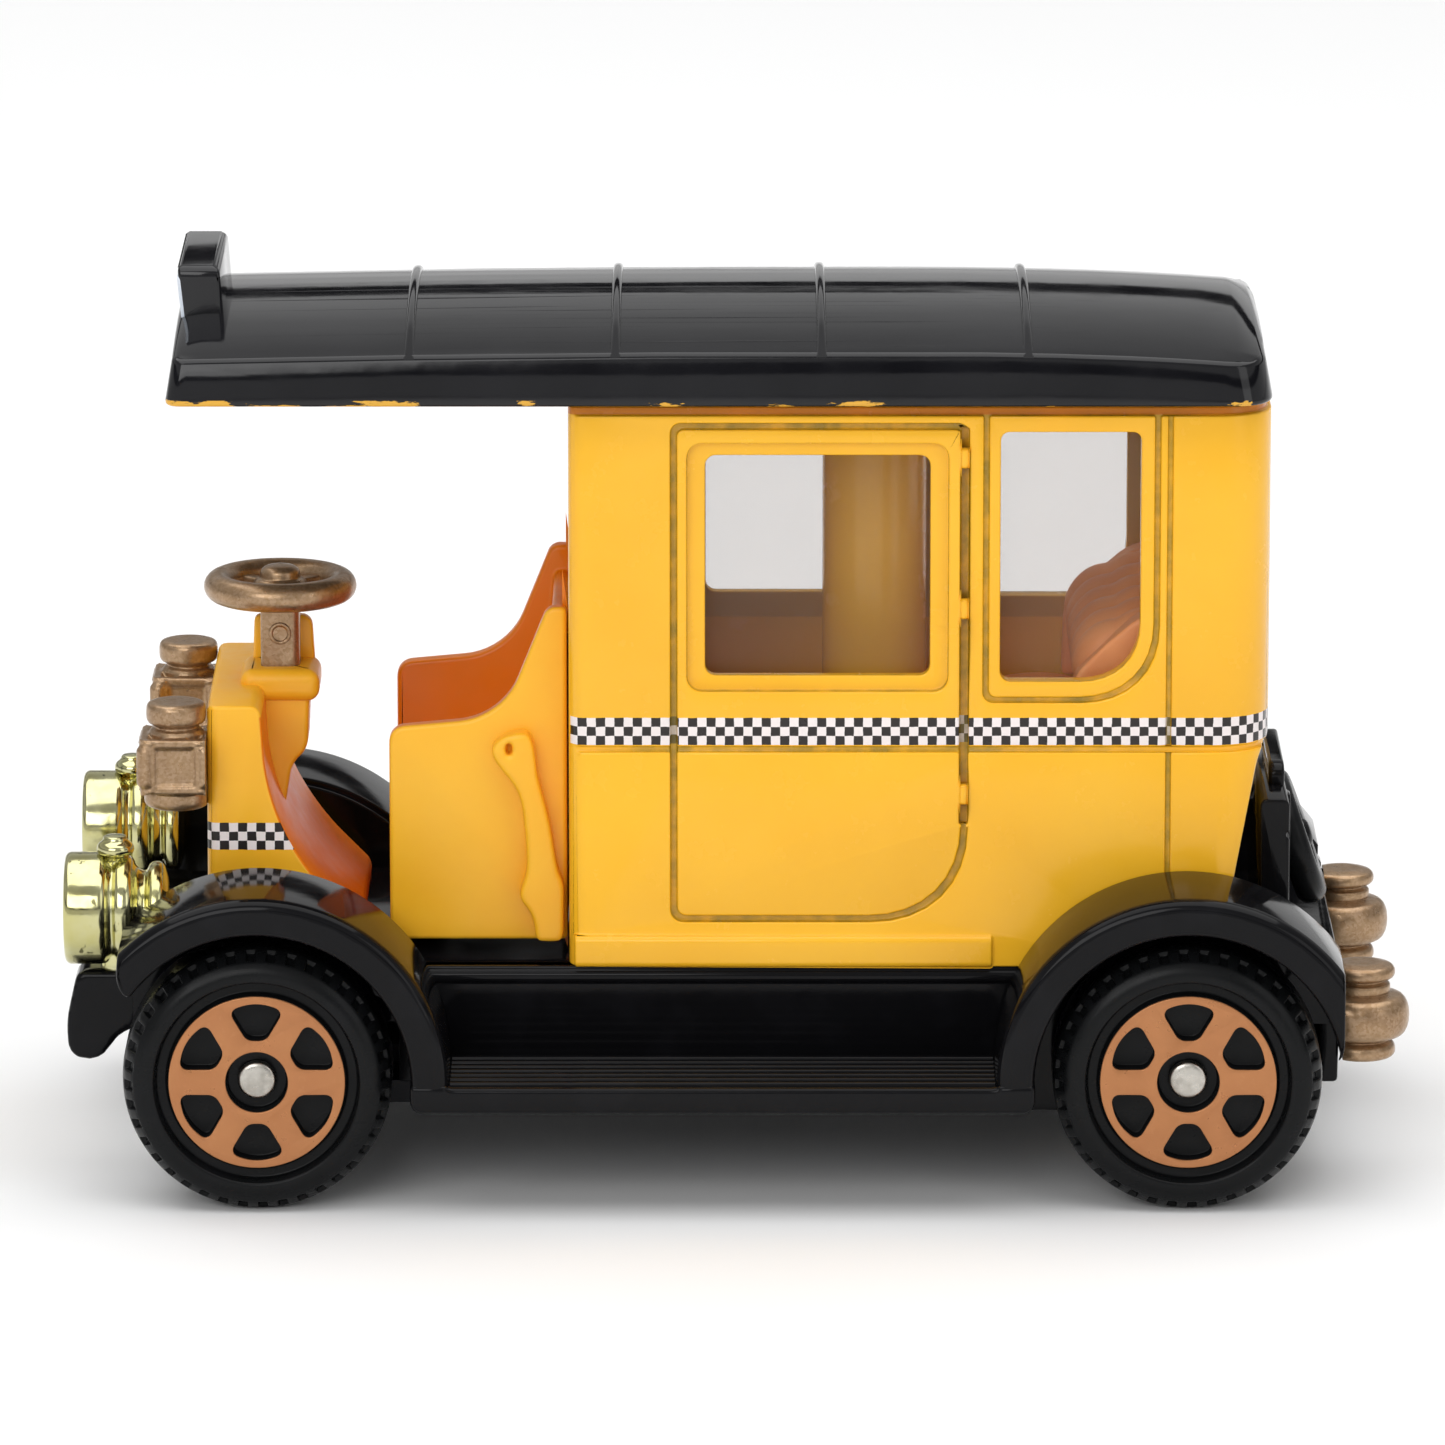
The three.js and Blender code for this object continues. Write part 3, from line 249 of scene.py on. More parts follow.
cab_enamel = enamel.done()

# %% [markdown]
# The driver's end is moulded in yellow plastic, not painted. Moulded plastic is a shade more orange, duller
# than enamel, and light passes a little way into it, which a small amount of subsurface scattering gives.
# Faces inside the moulding, which lie in shade, are painted a deep orange as painted shade; an attribute
# named `inner` marks them. The same band of squares is printed low on the cowl.

# %% Yellow plastic
COWL_BAND_BOTTOM = DECK_TOP + 4.6
plastic = Finish("yellow_moulding", srgb(255, 190, 44), 0.32, specular=0.4)
plastic.shader.inputs["Subsurface Weight"].default_value = 0.06
plastic.shader.inputs["Subsurface Radius"].default_value = (1.0, 0.45, 0.1)
plastic.shader.inputs["Subsurface Scale"].default_value = 0.4 * MM
plastic.drift(srgb(252, 182, 36), 3.5)
plastic.drift(srgb(255, 198, 60), 7.0, 2.0, 0.5, 0.8, 0.6)
# Painted shade: faces inside the moulding are blended towards a deep orange.
inner = plastic.node("ShaderNodeAttribute", attribute_name="inner").outputs["Fac"]
plastic.blend(plastic.math("MULTIPLY", inner, 0.9), srgb(240, 126, 2))
chequers(plastic, COWL_BAND_BOTTOM)
plastic.rough(0.28, 0.42, 1.1)
plastic.raise_by(plastic.noise(0.3, 3.0), 0.004)
yellow_moulding = plastic.done()

seat_plastic = Finish("seat_moulding", srgb(250, 168, 104), 0.42, specular=0.4)
seat_plastic.drift(srgb(236, 150, 88), 2.5)
seat_plastic.drift(srgb(255, 188, 128), 1.2, 3.0, 0.55, 0.8, 0.5)
seat_plastic.rough(0.34, 0.5, 0.8)
seat_plastic.raise_by(seat_plastic.noise(0.25, 3.0), 0.005)
seat_moulding = seat_plastic.done()

# %% [markdown]
# The roof is sprayed gloss black over the same yellow casting, so handling has worn small yellow
# chips along the lower lip. The chips are noise with a hard threshold. One mask keeps them to the last
# third of a millimetre above the lip, and another makes them thickest along the front of the roof.

# %% Black roof enamel with worn lip
ROOF_LIP = DECK_TOP + 25.2
black_enamel = Finish("roof_enamel", srgb(16, 16, 19), 0.06, specular=0.38)
black_enamel.drift(srgb(24, 24, 27), 6.0)
lip_height = black_enamel.node("ShaderNodeSeparateXYZ")
black_enamel.link(black_enamel.place, lip_height.inputs[0])
over_lip = black_enamel.math("SUBTRACT", black_enamel.math("DIVIDE", lip_height.outputs["Z"], MM), ROOF_LIP)
near_lip = black_enamel.spread(over_lip, 1.0, 0.0, 0.02, 0.3)
along_roof = black_enamel.math("DIVIDE", lip_height.outputs["X"], MM)
wear = black_enamel.spread(along_roof, 0.17, 0.06, -13.0, -8.0)
flaking = black_enamel.math("ADD", black_enamel.noise(1.0, 5.0, 0.7, (0.4, 1.0, 1.6)),
                            black_enamel.math("MULTIPLY", near_lip, wear))
chipped = black_enamel.math("MULTIPLY", black_enamel.spread(flaking, 0.0, 1.0, 0.63, 0.66),
                            black_enamel.math("GREATER_THAN", near_lip, 0.02))
black_enamel.blend(chipped, srgb(226, 170, 60))
black_enamel.rough(0.05, 0.11, 2.4)
black_enamel.raise_by(black_enamel.noise(1.6, 2.0), 0.004)
black_enamel.raise_by(chipped, -0.02)
roof_enamel = black_enamel.done()

# %% [markdown]
# Fenders, sills and running boards are one gloss black plastic moulding. Its skin copies a polished
# mould, so the bump is longer and softer than on paint, with faint scuffs that only change roughness.

# %% Black plastics and rubber


def black_plastic(name, colour, low, high, grain):
    made = Finish(name, colour, low, specular=0.14)
    made.drift(srgb(24, 24, 27), 2.0, 4.0, 0.5, 0.8, 0.6)
    made.rough(low, high, 1.4, (0.5, 1.0, 1.0))
    made.raise_by(made.noise(grain, 3.0), 0.006)
    return made.done()


gloss_moulding = black_plastic("fender_moulding", srgb(15, 15, 17), 0.06, 0.13, 1.6)
tyre_moulding = black_plastic("tyre_moulding", srgb(17, 18, 19), 0.22, 0.36, 0.5)
base_moulding = black_plastic("base_moulding", srgb(36, 36, 39), 0.5, 0.68, 0.35)

# %% [markdown]
# Lamps and steering wheel carry two metallic finishes. Bronze paint is tiny brass flakes in a warm
# brown binder: a Voronoi pattern of flakes with slightly different tints and heights. The headlamps are
# vacuum-plated in a yellow-green gold, nearly a mirror, with waviness from the moulding below and small
# dark spots where the plating is worn.

# %% Bronze, gold and copper
flake = Finish("bronze_lamp_paint", srgb(156, 126, 92), 0.3, metallic=0.8, coat=0.2)
grains = flake.node("ShaderNodeTexVoronoi")
grains.inputs["Scale"].default_value = 1.0 / (0.12 * MM)
flake.link(flake.place, grains.inputs["Vector"])
tint = flake.node("ShaderNodeSeparateColor")
flake.link(grains.outputs["Color"], tint.inputs[0])
flake.drift(srgb(122, 92, 64), 1.6, 3.0, 0.5, 0.8, 0.6)
flake.blend(flake.math("MULTIPLY", tint.outputs[0], 0.22), srgb(228, 198, 170))
flake.rough(0.26, 0.44, 0.5)
flake.raise_by(tint.outputs[1], 0.004)
bronze_paint = flake.done()

plated = Finish("gold_plating", srgb(203, 200, 156), 0.1, metallic=1.0)
plated.drift(srgb(196, 190, 128), 1.2)
worn_spots = plated.spread(plated.noise(0.8, 4.0, 0.6, (1.6, 1.6, 0.7)), 0.0, 0.85, 0.64, 0.68)
plated.blend(worn_spots, srgb(70, 66, 36))
plated.rough(0.07, 0.22, 0.9)
plated.raise_by(plated.noise(1.3, 2.0), 0.03)
gold_plating = plated.done()

foil = Finish("copper_foil", srgb(182, 122, 76), 0.36, metallic=0.5, coat=0.05)
foil.drift(srgb(176, 116, 72), 1.6, 4.0)
foil.drift(srgb(198, 142, 96), 0.3, 3.0, 0.6, 0.8, 0.25)
foil.rough(0.26, 0.42, 0.6)
foil.raise_by(foil.noise(0.2, 3.0), 0.004)
copper_foil = foil.done()

# %% [markdown]
# Axles and motor plates are bare steel, drawn or rolled, so their fine scratches run one way and
# scatter the light unevenly. The two rivets are zinc, greyer and softer. The gears are white nylon.

# %% Bare metals and nylon


def bare_metal(name, colour, dark, low, high, stretch):
    made = Finish(name, colour, low, metallic=1.0)
    made.drift(dark, 0.7, 4.0, 0.4, 0.75, 0.8)
    made.rough(low, high, 0.35, stretch)
    made.raise_by(made.noise(0.25, 3.0, 0.5, stretch), 0.008)
    return made.done()


axle_steel = bare_metal("axle_steel", srgb(196, 192, 184), srgb(140, 136, 128), 0.22, 0.42, (1, 1, 1))
motor_steel = bare_metal("motor_steel", srgb(176, 176, 178), srgb(128, 126, 124), 0.28, 0.45, (1, 1, 9))
bare_zinc = bare_metal("rivet_zinc", srgb(160, 160, 162), srgb(110, 110, 112), 0.4, 0.6, (1, 1, 1))

nylon = Finish("gear_nylon", srgb(236, 234, 224), 0.42, specular=0.4)
nylon.drift(srgb(214, 210, 196), 0.8)
nylon.rough(0.36, 0.5, 0.4)
nylon.raise_by(nylon.noise(0.3, 3.0), 0.004)
gear_nylon = nylon.done()

# %% [markdown]
# The windows are one clear plastic insert with a light smoke tint. Real refraction would need far more
# light paths for a pane this thin, so the pane is a mostly transparent film: its alpha is low and its
# surface smooth, which keeps the view through the cab and a soft reflection.

# %% Smoked glazing
smoke = Finish("smoked_glazing", srgb(150, 126, 110), 0.06, specular=0.5)
smoke.shader.inputs["Alpha"].default_value = 0.13
smoke.drift(srgb(134, 112, 98), 5.0)
smoke.rough(0.03, 0.1, 2.0)
smoke.raise_by(smoke.noise(2.5, 2.0), 0.01)
smoked_glazing = smoke.done()

# %% [markdown]
# The front of the roof sign is a pale printed face with no lettering on it.

# %% Sign face
face = Finish("sign_face", srgb(222, 228, 236), 0.35, specular=0.4)
face.drift(srgb(205, 214, 226), 1.8)
face.rough(0.3, 0.42, 0.7)
face.raise_by(face.noise(0.4, 3.0), 0.003)
sign_face_print = face.done()

# %% [markdown]
# Most pieces start from one of three moves: a primitive block, an outline that is filled and extruded,
# or a profile that is spun round an axis. They are small helpers, because the car repeats them often.
# An outline is a circle primitive whose points are moved onto the outline, so it can have any shape.

# %% Helpers for shapes


def deselect():
    bpy.ops.object.select_all(action="DESELECT")


def pick(piece):
    deselect()
    piece.select_set(True)
    bpy.context.view_layer.objects.active = piece


def named(name):
    piece = bpy.context.object
    piece.name = name
    piece.data.name = name
    return piece


def settle(piece):
    """Puts the object's place into its mesh."""
    pick(piece)
    bpy.ops.object.transform_apply(location=True, rotation=True, scale=True)
    return piece


def block(name, x, y, z):
    """A cube primitive stretched over three ranges."""
    deselect()
    bpy.ops.mesh.primitive_cube_add(size=MM)
    piece = named(name)
    piece.location = [(a + b) / 2 * MM for a, b in (x, y, z)]
    piece.scale = [b - a for a, b in (x, y, z)]
    return settle(piece)


def rounded(corners, steps=6):
    """Points of an outline through corners (a, b, reach), each rounded from `reach` before it."""
    points = []
    for i, (a, b, *rest) in enumerate(corners):
        reach = rest[0] if rest else 0
        corner = Vector((a, b))
        if not reach:
            points.append(corner)
            continue
        before = Vector(corners[i - 1][:2])
        after = Vector(corners[(i + 1) % len(corners)][:2])
        start = corner.lerp(before, min(reach / (before - corner).length, 0.49))
        end = corner.lerp(after, min(reach / (after - corner).length, 0.49))
        for step in range(steps + 1):
            t = step / steps
            # A weight of 0.83 in the middle makes the curve a close copy of a round arc.
            weight = 2 * t * (1 - t) * 0.83
            total = (1 - t) ** 2 + weight + t ** 2
            points.append(((1 - t) ** 2 * start + weight * corner + t ** 2 * end) / total)
    return points


def box_outline(a, b, reaches=(0, 0, 0, 0)):
    return [(a[0], b[0], reaches[0]), (a[1], b[0], reaches[1]), (a[1], b[1], reaches[2]),
            (a[0], b[1], reaches[3])]


PLANES = {
    "across": lambda a, b, h: Vector((a, h, b)),  # a side view, pushed across the car
    "up": lambda a, b, h: Vector((a, b, h)),  # a plan, raised
    "along": lambda a, b, h: Vector((h, a, b)),  # a front view, pushed along the car
}


def plate(name, points, depth, plane):
    """An outline filled and extruded between the two depths."""
    deselect()
    bpy.ops.mesh.primitive_circle_add(vertices=len(points), radius=MM, fill_type="NGON")
    piece = named(name)
    place = PLANES[plane]
    for vertex, (a, b) in zip(piece.data.vertices, points):
        vertex.co = place(a, b, depth[0]) * MM
    push = (place(0, 0, depth[1]) - place(0, 0, depth[0])) * MM
    bpy.ops.object.mode_set(mode="EDIT")
    bpy.ops.mesh.select_all(action="SELECT")
    bpy.ops.mesh.extrude_region_move(TRANSFORM_OT_translate={"value": push})
    bpy.ops.mesh.select_all(action="SELECT")
    bpy.ops.mesh.remove_doubles(threshold=0.001 * MM)
    bpy.ops.mesh.normals_make_consistent(inside=False)
    bpy.ops.object.mode_set(mode="OBJECT")
    return piece


TURNS = {
    "across": (Vector((0, 1, 0)), lambda r, h: Vector((0, h, r))),
    "up": (Vector((0, 0, 1)), lambda r, h: Vector((r, 0, h))),
    "along": (Vector((1, 0, 0)), lambda r, h: Vector((h, 0, r))),
}


def turned(name, profile, centre, plane, steps=48):
    """A closed profile of (radius, distance along the axis) spun round an axis through the centre."""
    deselect()
    bpy.ops.mesh.primitive_circle_add(vertices=len(profile), radius=MM, fill_type="NOTHING")
    piece = named(name)
    axis, place = TURNS[plane]
    middle = Vector(centre)
    for vertex, (radius, height) in zip(piece.data.vertices, profile):
        vertex.co = (middle + place(radius, height)) * MM
    bpy.ops.object.mode_set(mode="EDIT")
    bpy.ops.mesh.select_all(action="SELECT")
    bpy.ops.mesh.spin(steps=steps, angle=math.tau, center=middle * MM, axis=axis)
    bpy.ops.mesh.select_all(action="SELECT")
    bpy.ops.mesh.remove_doubles(threshold=0.001 * MM)
    bpy.ops.mesh.delete_loose()
    bpy.ops.mesh.select_all(action="SELECT")
    bpy.ops.mesh.normals_make_consistent(inside=False)
    bpy.ops.object.mode_set(mode="OBJECT")
    return piece


def apply(piece, modifier):
    pick(piece)
    bpy.ops.object.modifier_apply(modifier=modifier.name)
    return piece


def combine(piece, tool, operation):
    modifier = piece.modifiers.new("combine", "BOOLEAN")
    modifier.operation = operation
    modifier.solver = "EXACT"
    modifier.object = tool
    apply(piece, modifier)
    bpy.data.objects.remove(tool)
    return piece


def carve(piece, *tools):
    for tool in tools:
        combine(piece, tool, "DIFFERENCE")
    return piece


def weld_on(piece, *others):
    for other in others:
        combine(piece, other, "UNION")
    return piece


def keep_within(piece, tool):
    return combine(piece, tool, "INTERSECT")


def soften(piece, width, segments=3, angle=32.0):
    """Rounds every edge sharper than the angle, and shades the rest smooth."""
    pick(piece)
    bpy.ops.object.mode_set(mode="EDIT")
    bpy.ops.mesh.select_all(action="SELECT")
    bpy.ops.mesh.remove_doubles(threshold=0.01 * MM)
    bpy.ops.mesh.dissolve_limited(angle_limit=math.radians(0.5))
    bpy.ops.object.mode_set(mode="OBJECT")
    modifier = piece.modifiers.new("soften", "BEVEL")
    modifier.width = width * MM
    modifier.segments = segments
    modifier.limit_method = "ANGLE"
    modifier.angle_limit = math.radians(angle)
    modifier.use_clamp_overlap = False
    modifier.miter_outer = "MITER_ARC"
    apply(piece, modifier)
    return smooth(piece)


def smooth(piece, angle=38.0):
    pick(piece)
    bpy.ops.object.shade_smooth_by_angle(angle=math.radians(angle))
    return piece


def melted(piece, voxel, passes):
    """Rebuilds a piece as one even skin and relaxes it, which rounds it softly all over."""
    melt = piece.modifiers.new("melt", "REMESH")
    melt.mode = "VOXEL"
    melt.voxel_size = voxel * MM
    melt.use_smooth_shade = True
    apply(piece, melt)
    relax = piece.modifiers.new("relax", "SMOOTH")
    relax.iterations = passes
    relax.factor = 0.5
    return apply(piece, relax)


def gather(name, pieces):
    """Joins several parts into one object."""
    deselect()
    for piece in pieces:
        piece.select_set(True)
    bpy.context.view_layer.objects.active = pieces[0]
    bpy.ops.object.join()
    return named(name)


def twin(piece, name, move=(0, 0, 0), mirror=False):
    """A copy with its own mesh, moved, or mirrored to the car's other side."""
    pick(piece)
    bpy.ops.object.duplicate(linked=False)
    copy = named(name)
    if mirror:
        copy.scale.y = -1
    copy.location = Vector(move) * MM
    settle(copy)
    if mirror:
        bpy.ops.object.mode_set(mode="EDIT")
        bpy.ops.mesh.select_all(action="SELECT")
        bpy.ops.mesh.normals_make_consistent(inside=False)
        bpy.ops.object.mode_set(mode="OBJECT")
    return copy


def install(piece, material, slot, body, *nodes):
    """Gives a finished piece its finish, its body, and the CAD nodes that it stands for."""
    piece.data.materials.clear()
    piece.data.materials.append(material)
    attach(piece, body)
    if nodes:
        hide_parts(*nodes)
    print(piece.name, "faces:", len(piece.data.polygons))
    return piece

# %% [markdown]
# The cab is a zinc casting: four thin walls with rounded rear corners, leaning in below the belt at
# the back. A plan gives the walls and corners, and a side view cut through it gives the leaning back.
# The hollow is the same shape drawn in by the wall thickness.

# %% Cab sizes and shell
CAB_FRONT = front_high.x + 0.1
CAB_REAR = cab_high.x
CAB_HALF = cab_high.y - 1.0
CAB_TOP = DECK_TOP + 25.0
CAB_WALL = 1.0
CORNER = 2.6
BOTH_SIDES = (("left", -1), ("right", 1))


def on_side(side, inner, outer):
    """A range across the car, on the left (side -1) or on the right."""
    return (inner, outer) if side > 0 else (-outer, -inner)


def cab_solid(inset):
    half = CAB_HALF - inset
    reach = max(CORNER - inset, 0.5)
    low = DECK_TOP - (1 if inset else 0)
    rear = CAB_REAR - inset
    plan = rounded(box_outline((CAB_FRONT + inset, rear), (-half, half), (0.8, reach, reach, 0.8)), 10)
    tall = plate("cab_solid", plan, (DECK_TOP - 2, CAB_TOP + 2), "up")
    side = rounded([
        (CAB_FRONT + inset, low), (rear - 2.2, low), (rear - 1.6, DECK_TOP + 3.7, 3),
        (rear - 0.5, DECK_TOP + 9.3, 0.6), (rear, DECK_TOP + 10.1, 0.4), (rear, CAB_TOP - inset),
        (CAB_FRONT + inset, CAB_TOP - inset),
    ])
    return keep_within(tall, plate("side", side, (-half - 1, half + 1), "across"))


cab = carve(cab_solid(0), cab_solid(CAB_WALL))
print("cab from", round(CAB_FRONT, 2), "to", round(CAB_REAR, 2), "mm")

# %% [markdown]
# The door is only drawn on the casting: a channel runs round it, the window sits in a shallow stepped
# frame, and the quarter window has a channel of its own. Each is a cutter made as an outline with a
# smaller outline cut out of it, and the same cutters work on both sides of the car.

# %% Doors, windows and grooves
SILL = DECK_TOP + 13.0
DOOR_FRONT = CAB_FRONT + 4.44
DOOR_REAR = DOOR_FRONT + 12.99
DOOR_WINDOW = (DOOR_FRONT + 1.52, DOOR_FRONT + 11.32)
QUARTER_WINDOW = (DOOR_REAR + 1.38, DOOR_REAR + 7.48)
GROOVE = 0.3


def ring_cutter(corners, width, side, depth):
    """A channel `width` wide that follows the inside of an outline."""
    left, right = min(c[0] for c in corners), max(c[0] for c in corners)
    low, high = min(c[1] for c in corners), max(c[1] for c in corners)

    def shrink(corner):
        a, b, reach = corner
        return (a + width if a < (left + right) / 2 else a - width,
                b + width if b < (low + high) / 2 else b - width, max(reach - width * 0.6, 0.15))
    span = on_side(side, CAB_HALF - depth, CAB_HALF + 1)
    wide = on_side(side, CAB_HALF - depth - 1, CAB_HALF + 2)
    outer = plate("channel", rounded(corners, 8), span, "across")
    return carve(outer, plate("island", rounded([shrink(c) for c in corners], 8), wide, "across"))


door_outline = box_outline((DOOR_FRONT, DOOR_REAR), (DECK_TOP + 2, CAB_TOP - 0.7), (0.6, 4.2, 0.5, 0.5))
quarter_outline = box_outline((QUARTER_WINDOW[0] - 0.75, QUARTER_WINDOW[1] + 0.85),
                              (SILL - 1.15, CAB_TOP + 1.5), (0.5, 3.4, 0, 0))
for word, side in BOTH_SIDES:
    through = on_side(side, CAB_HALF - 2, CAB_HALF + 1)
    shallow = on_side(side, CAB_HALF - 0.4, CAB_HALF + 1)
    frame_outline = box_outline((DOOR_WINDOW[0] - 0.8, DOOR_WINDOW[1] + 0.8), (SILL - 0.65, SILL + 10.4),
                                (0.7, 0.7, 0.7, 0.7))
    glass_outline = box_outline(DOOR_WINDOW, (SILL, SILL + 9.8), (0.5, 0.5, 0.5, 0.5))
    small_outline = box_outline(QUARTER_WINDOW, (SILL - 0.2, SILL + 10.9), (0.5, 2.6, 0.4, 0.4))
    carve(cab,
          plate("recess", rounded(frame_outline), shallow, "across"),
          plate("glass", rounded(glass_outline), through, "across"),
          plate("quarter", rounded(small_outline, 8), through, "across"),
          ring_cutter(door_outline, GROOVE, side, 0.3),
          ring_cutter(quarter_outline, 0.26, side, 0.22),
          block("hinge_gap", (DOOR_REAR - 0.38, DOOR_REAR + 0.02),
                on_side(side, CAB_HALF - 0.55, CAB_HALF + 1), (DECK_TOP + 6.4, CAB_TOP - 0.9)),
          block("quarter_seam", (QUARTER_WINDOW[1] + 1.16, QUARTER_WINDOW[1] + 1.38),
                on_side(side, CAB_HALF - 0.14, CAB_HALF + 1), (DECK_TOP, CAB_TOP)))


def round_groove(low, high, depth):
    """A channel that runs round both sides and the back at one height."""
    island = rounded(box_outline((CAB_FRONT - 3, CAB_REAR - depth), (depth - CAB_HALF, CAB_HALF - depth),
                                 (0, CORNER - depth, CORNER - depth, 0)), 10)
    slab = block("groove", (CAB_FRONT - 2, CAB_REAR + 1), (-CAB_HALF - 1, CAB_HALF + 1), (low, high))
    return carve(slab, plate("island", island, (low - 1, high + 1), "up"))


carve(cab,
      round_groove(BELT_BOTTOM - 0.34, BELT_BOTTOM - 0.08, 0.16),
      round_groove(CAB_TOP - 0.38, CAB_TOP + 0.5, 0.22))
rear_window = box_outline((-4.2, 4.2), (SILL, SILL + 8.4), (1, 1, 1, 1))
rear_recess = box_outline((-4.9, 4.9), (SILL - 0.7, SILL + 9.1), (1.2, 1.2, 1.2, 1.2))
front_window = box_outline((-5.2, 5.2), (front_high.z + 1.2, CAB_TOP - 2.2), (0.6, 0.6, 0.6, 0.6))
carve(cab,
      plate("rear_glass", rounded(rear_window), (CAB_REAR - 2, CAB_REAR + 1), "along"),
      plate("rear_recess", rounded(rear_recess), (CAB_REAR - 0.35, CAB_REAR + 1), "along"),
      plate("front_glass", rounded(front_window), (CAB_FRONT - 1, CAB_FRONT + 2), "along"))
print("door from", round(DOOR_FRONT, 2), "to", round(DOOR_REAR, 2), "mm")

# %% [markdown]
# A rounded bead strengthens the foot of each side, and three hinge knuckles sit in the gap behind the
# door. They are welded on with a union, so that one bevel then rounds everything as paint would.

# %% Beads, knuckles and rounding
REAR_AXLE_X = (measured("rear_wheel_left")[0].x + measured("rear_wheel_left")[1].x) / 2
AXLE_Z = measured("rear_wheel_left")[1].z / 2
FENDER_RADIUS = AXLE_Z + 2.5
KNUCKLE_HEIGHTS = (7.3, 15.6, 22.3)  # above the deck
for word, side in BOTH_SIDES:
    low, high = on_side(side, CAB_HALF - 0.5, CAB_HALF + 0.25)
    bead = rounded(box_outline((low, high), (DECK_TOP, DECK_TOP + 1.45), (0.3, 0.3, 0.35, 0.35)))
    weld_on(cab, plate("bead", bead, (CAB_FRONT + 0.25, REAR_AXLE_X - FENDER_RADIUS - 0.1), "along"))
    for height in KNUCKLE_HEIGHTS:
        knuckle = [(0, height), (0.26, height, 0.1), (0.26, height + 0.9, 0.1), (0, height + 0.9)]
        weld_on(cab, turned("knuckle", rounded(knuckle, 3),
                            (DOOR_REAR - 0.19, side * (CAB_HALF - 0.16), DECK_TOP), "up", 16))
soften(cab, 0.09, 3)
cab.name = cab.data.name = "cab_body"


def measure_run(piece, start, end, half, reach):
    """Stores on each outward face how far its corners lie round the piece, from `start` round the end."""
    travel = 1 if end > start else -1
    straight = abs(end - start) - reach
    run = piece.data.attributes.new("run", "FLOAT", "CORNER")
    for polygon in piece.data.polygons:
        facing = polygon.normal
        side = 1 if polygon.center.y > 0 else -1
        outward = facing.y * side > 0.35 or facing.x * travel > 0.35
        across_end = abs(polygon.center.y / MM) < half - reach
        for corner in polygon.loop_indices:
            x, y, z = piece.data.vertices[piece.data.loops[corner].vertex_index].co / MM
            along = (x - start) * travel
            inward = abs(y) - (half - reach)
            beyond = along - straight
            if beyond > 0 and across_end:
                outer = beyond > reach - 0.6
                distance = straight + reach * math.pi / 2 + half - reach + y
            elif beyond > 0:
                outer = math.hypot(beyond, inward) > reach - 0.45
                distance = straight + reach * math.atan2(beyond, inward)
            else:
                outer = abs(y) > half - 0.6
                distance = along
            run.data[corner].value = distance + 0.01 if outer and outward and along > -0.1 else -5.0


def mark_inner_shade(piece, test):
    """Stores 1 on faces for which test(centre in mm, normal) is true, and 0 on the others: the faces that
    the plastic paints a deep orange as painted shade.
    """
    inner = piece.data.attributes.new("inner", "FLOAT", "FACE")
    for polygon in piece.data.polygons:
        inner.data[polygon.index].value = 1.0 if test(polygon.center / MM, polygon.normal) else 0.0


def mark_hollows(piece, half):
    """Stores 1 on points that lie in a channel of the side walls, and 0 elsewhere."""
    hollow = piece.data.attributes.new("hollow", "FLOAT", "POINT")
    for vertex in piece.data.vertices:
        depth = half - abs(vertex.co.y / MM)
        along = vertex.co.x / MM
        in_channel = 0.08 < depth < 0.37 or 0.45 < depth < 0.6
        on_wall = CAB_FRONT + 0.5 < along < CAB_REAR - CORNER - 0.3
        hollow.data[vertex.index].value = 1.0 if in_channel and on_wall else 0.0


measure_run(cab, CAB_FRONT, CAB_REAR, CAB_HALF, CORNER * 0.84)
mark_hollows(cab, CAB_HALF)
install(cab, cab_enamel, "cab_paint", "chassis", "cab_casting")

# %% [markdown]
# Inside the cab a thick round post runs from the roof to the base, where the rear rivet holds it. It is
# seen through the door window. A turned profile gives it the flare where it meets the roof.

# %% Post
POST_X = CAB_FRONT + 13.44
post_profile = [(0, cab_low.z), (2.3, cab_low.z, 0.1), (2.3, CAB_TOP - 3.2, 0.6), (2.9, CAB_TOP - 1.05, 0.5),
                (0, CAB_TOP - 1.05)]
post = smooth(turned("cab_post", rounded(post_profile, 5), (POST_X, 0, 0), "up", 48))
install(post, cab_enamel, "cab_paint", "chassis")

# %% [markdown]
# The roof reaches from the rear of the cab over the driver. Its top is crowned from side to side and
# bowed a little from end to end, so the straight extrusion is first sliced into a fine grid with bisect,
# and then each point is lifted by a formula. Slicing keeps the rounded plan exactly, which a plain grid
# could not. The lower points are moved outwards, which flares the lip.

# %% Roof
ROOF_FRONT = cab_low.x
ROOF_HALF = cab_high.y
ROOF_CREASE = ROOF_LIP + 2.0
FLARE = 0.35
CROWN = 1.25
CUTS_ALONG = 60
CUTS_ACROSS = 36


def crown_height(x, y):
    """How far the roof rises above its crease."""
    across = min(abs(y) / (ROOF_HALF - FLARE), 1.0)
    from_rear = max(0.0, min(1.0, (CAB_REAR - FLARE + 0.3 - x) / 1.4))
    from_front = max(0.0, min(1.0, (x - ROOF_FRONT + 1.0) / 2.5))
    from_peak = (x - ROOF_FRONT) / (CAB_REAR - ROOF_FRONT) - 0.59
    bow = 0.3 - (0.35 * (from_peak / 0.59) ** 2 if from_peak < 0 else 0.48 * (from_peak / 0.38) ** 3)
    end = (1 - (1 - from_rear) ** 2.4) * (1 - (1 - from_front) ** 2)
    return CROWN * (1 - across ** 2) * end + bow


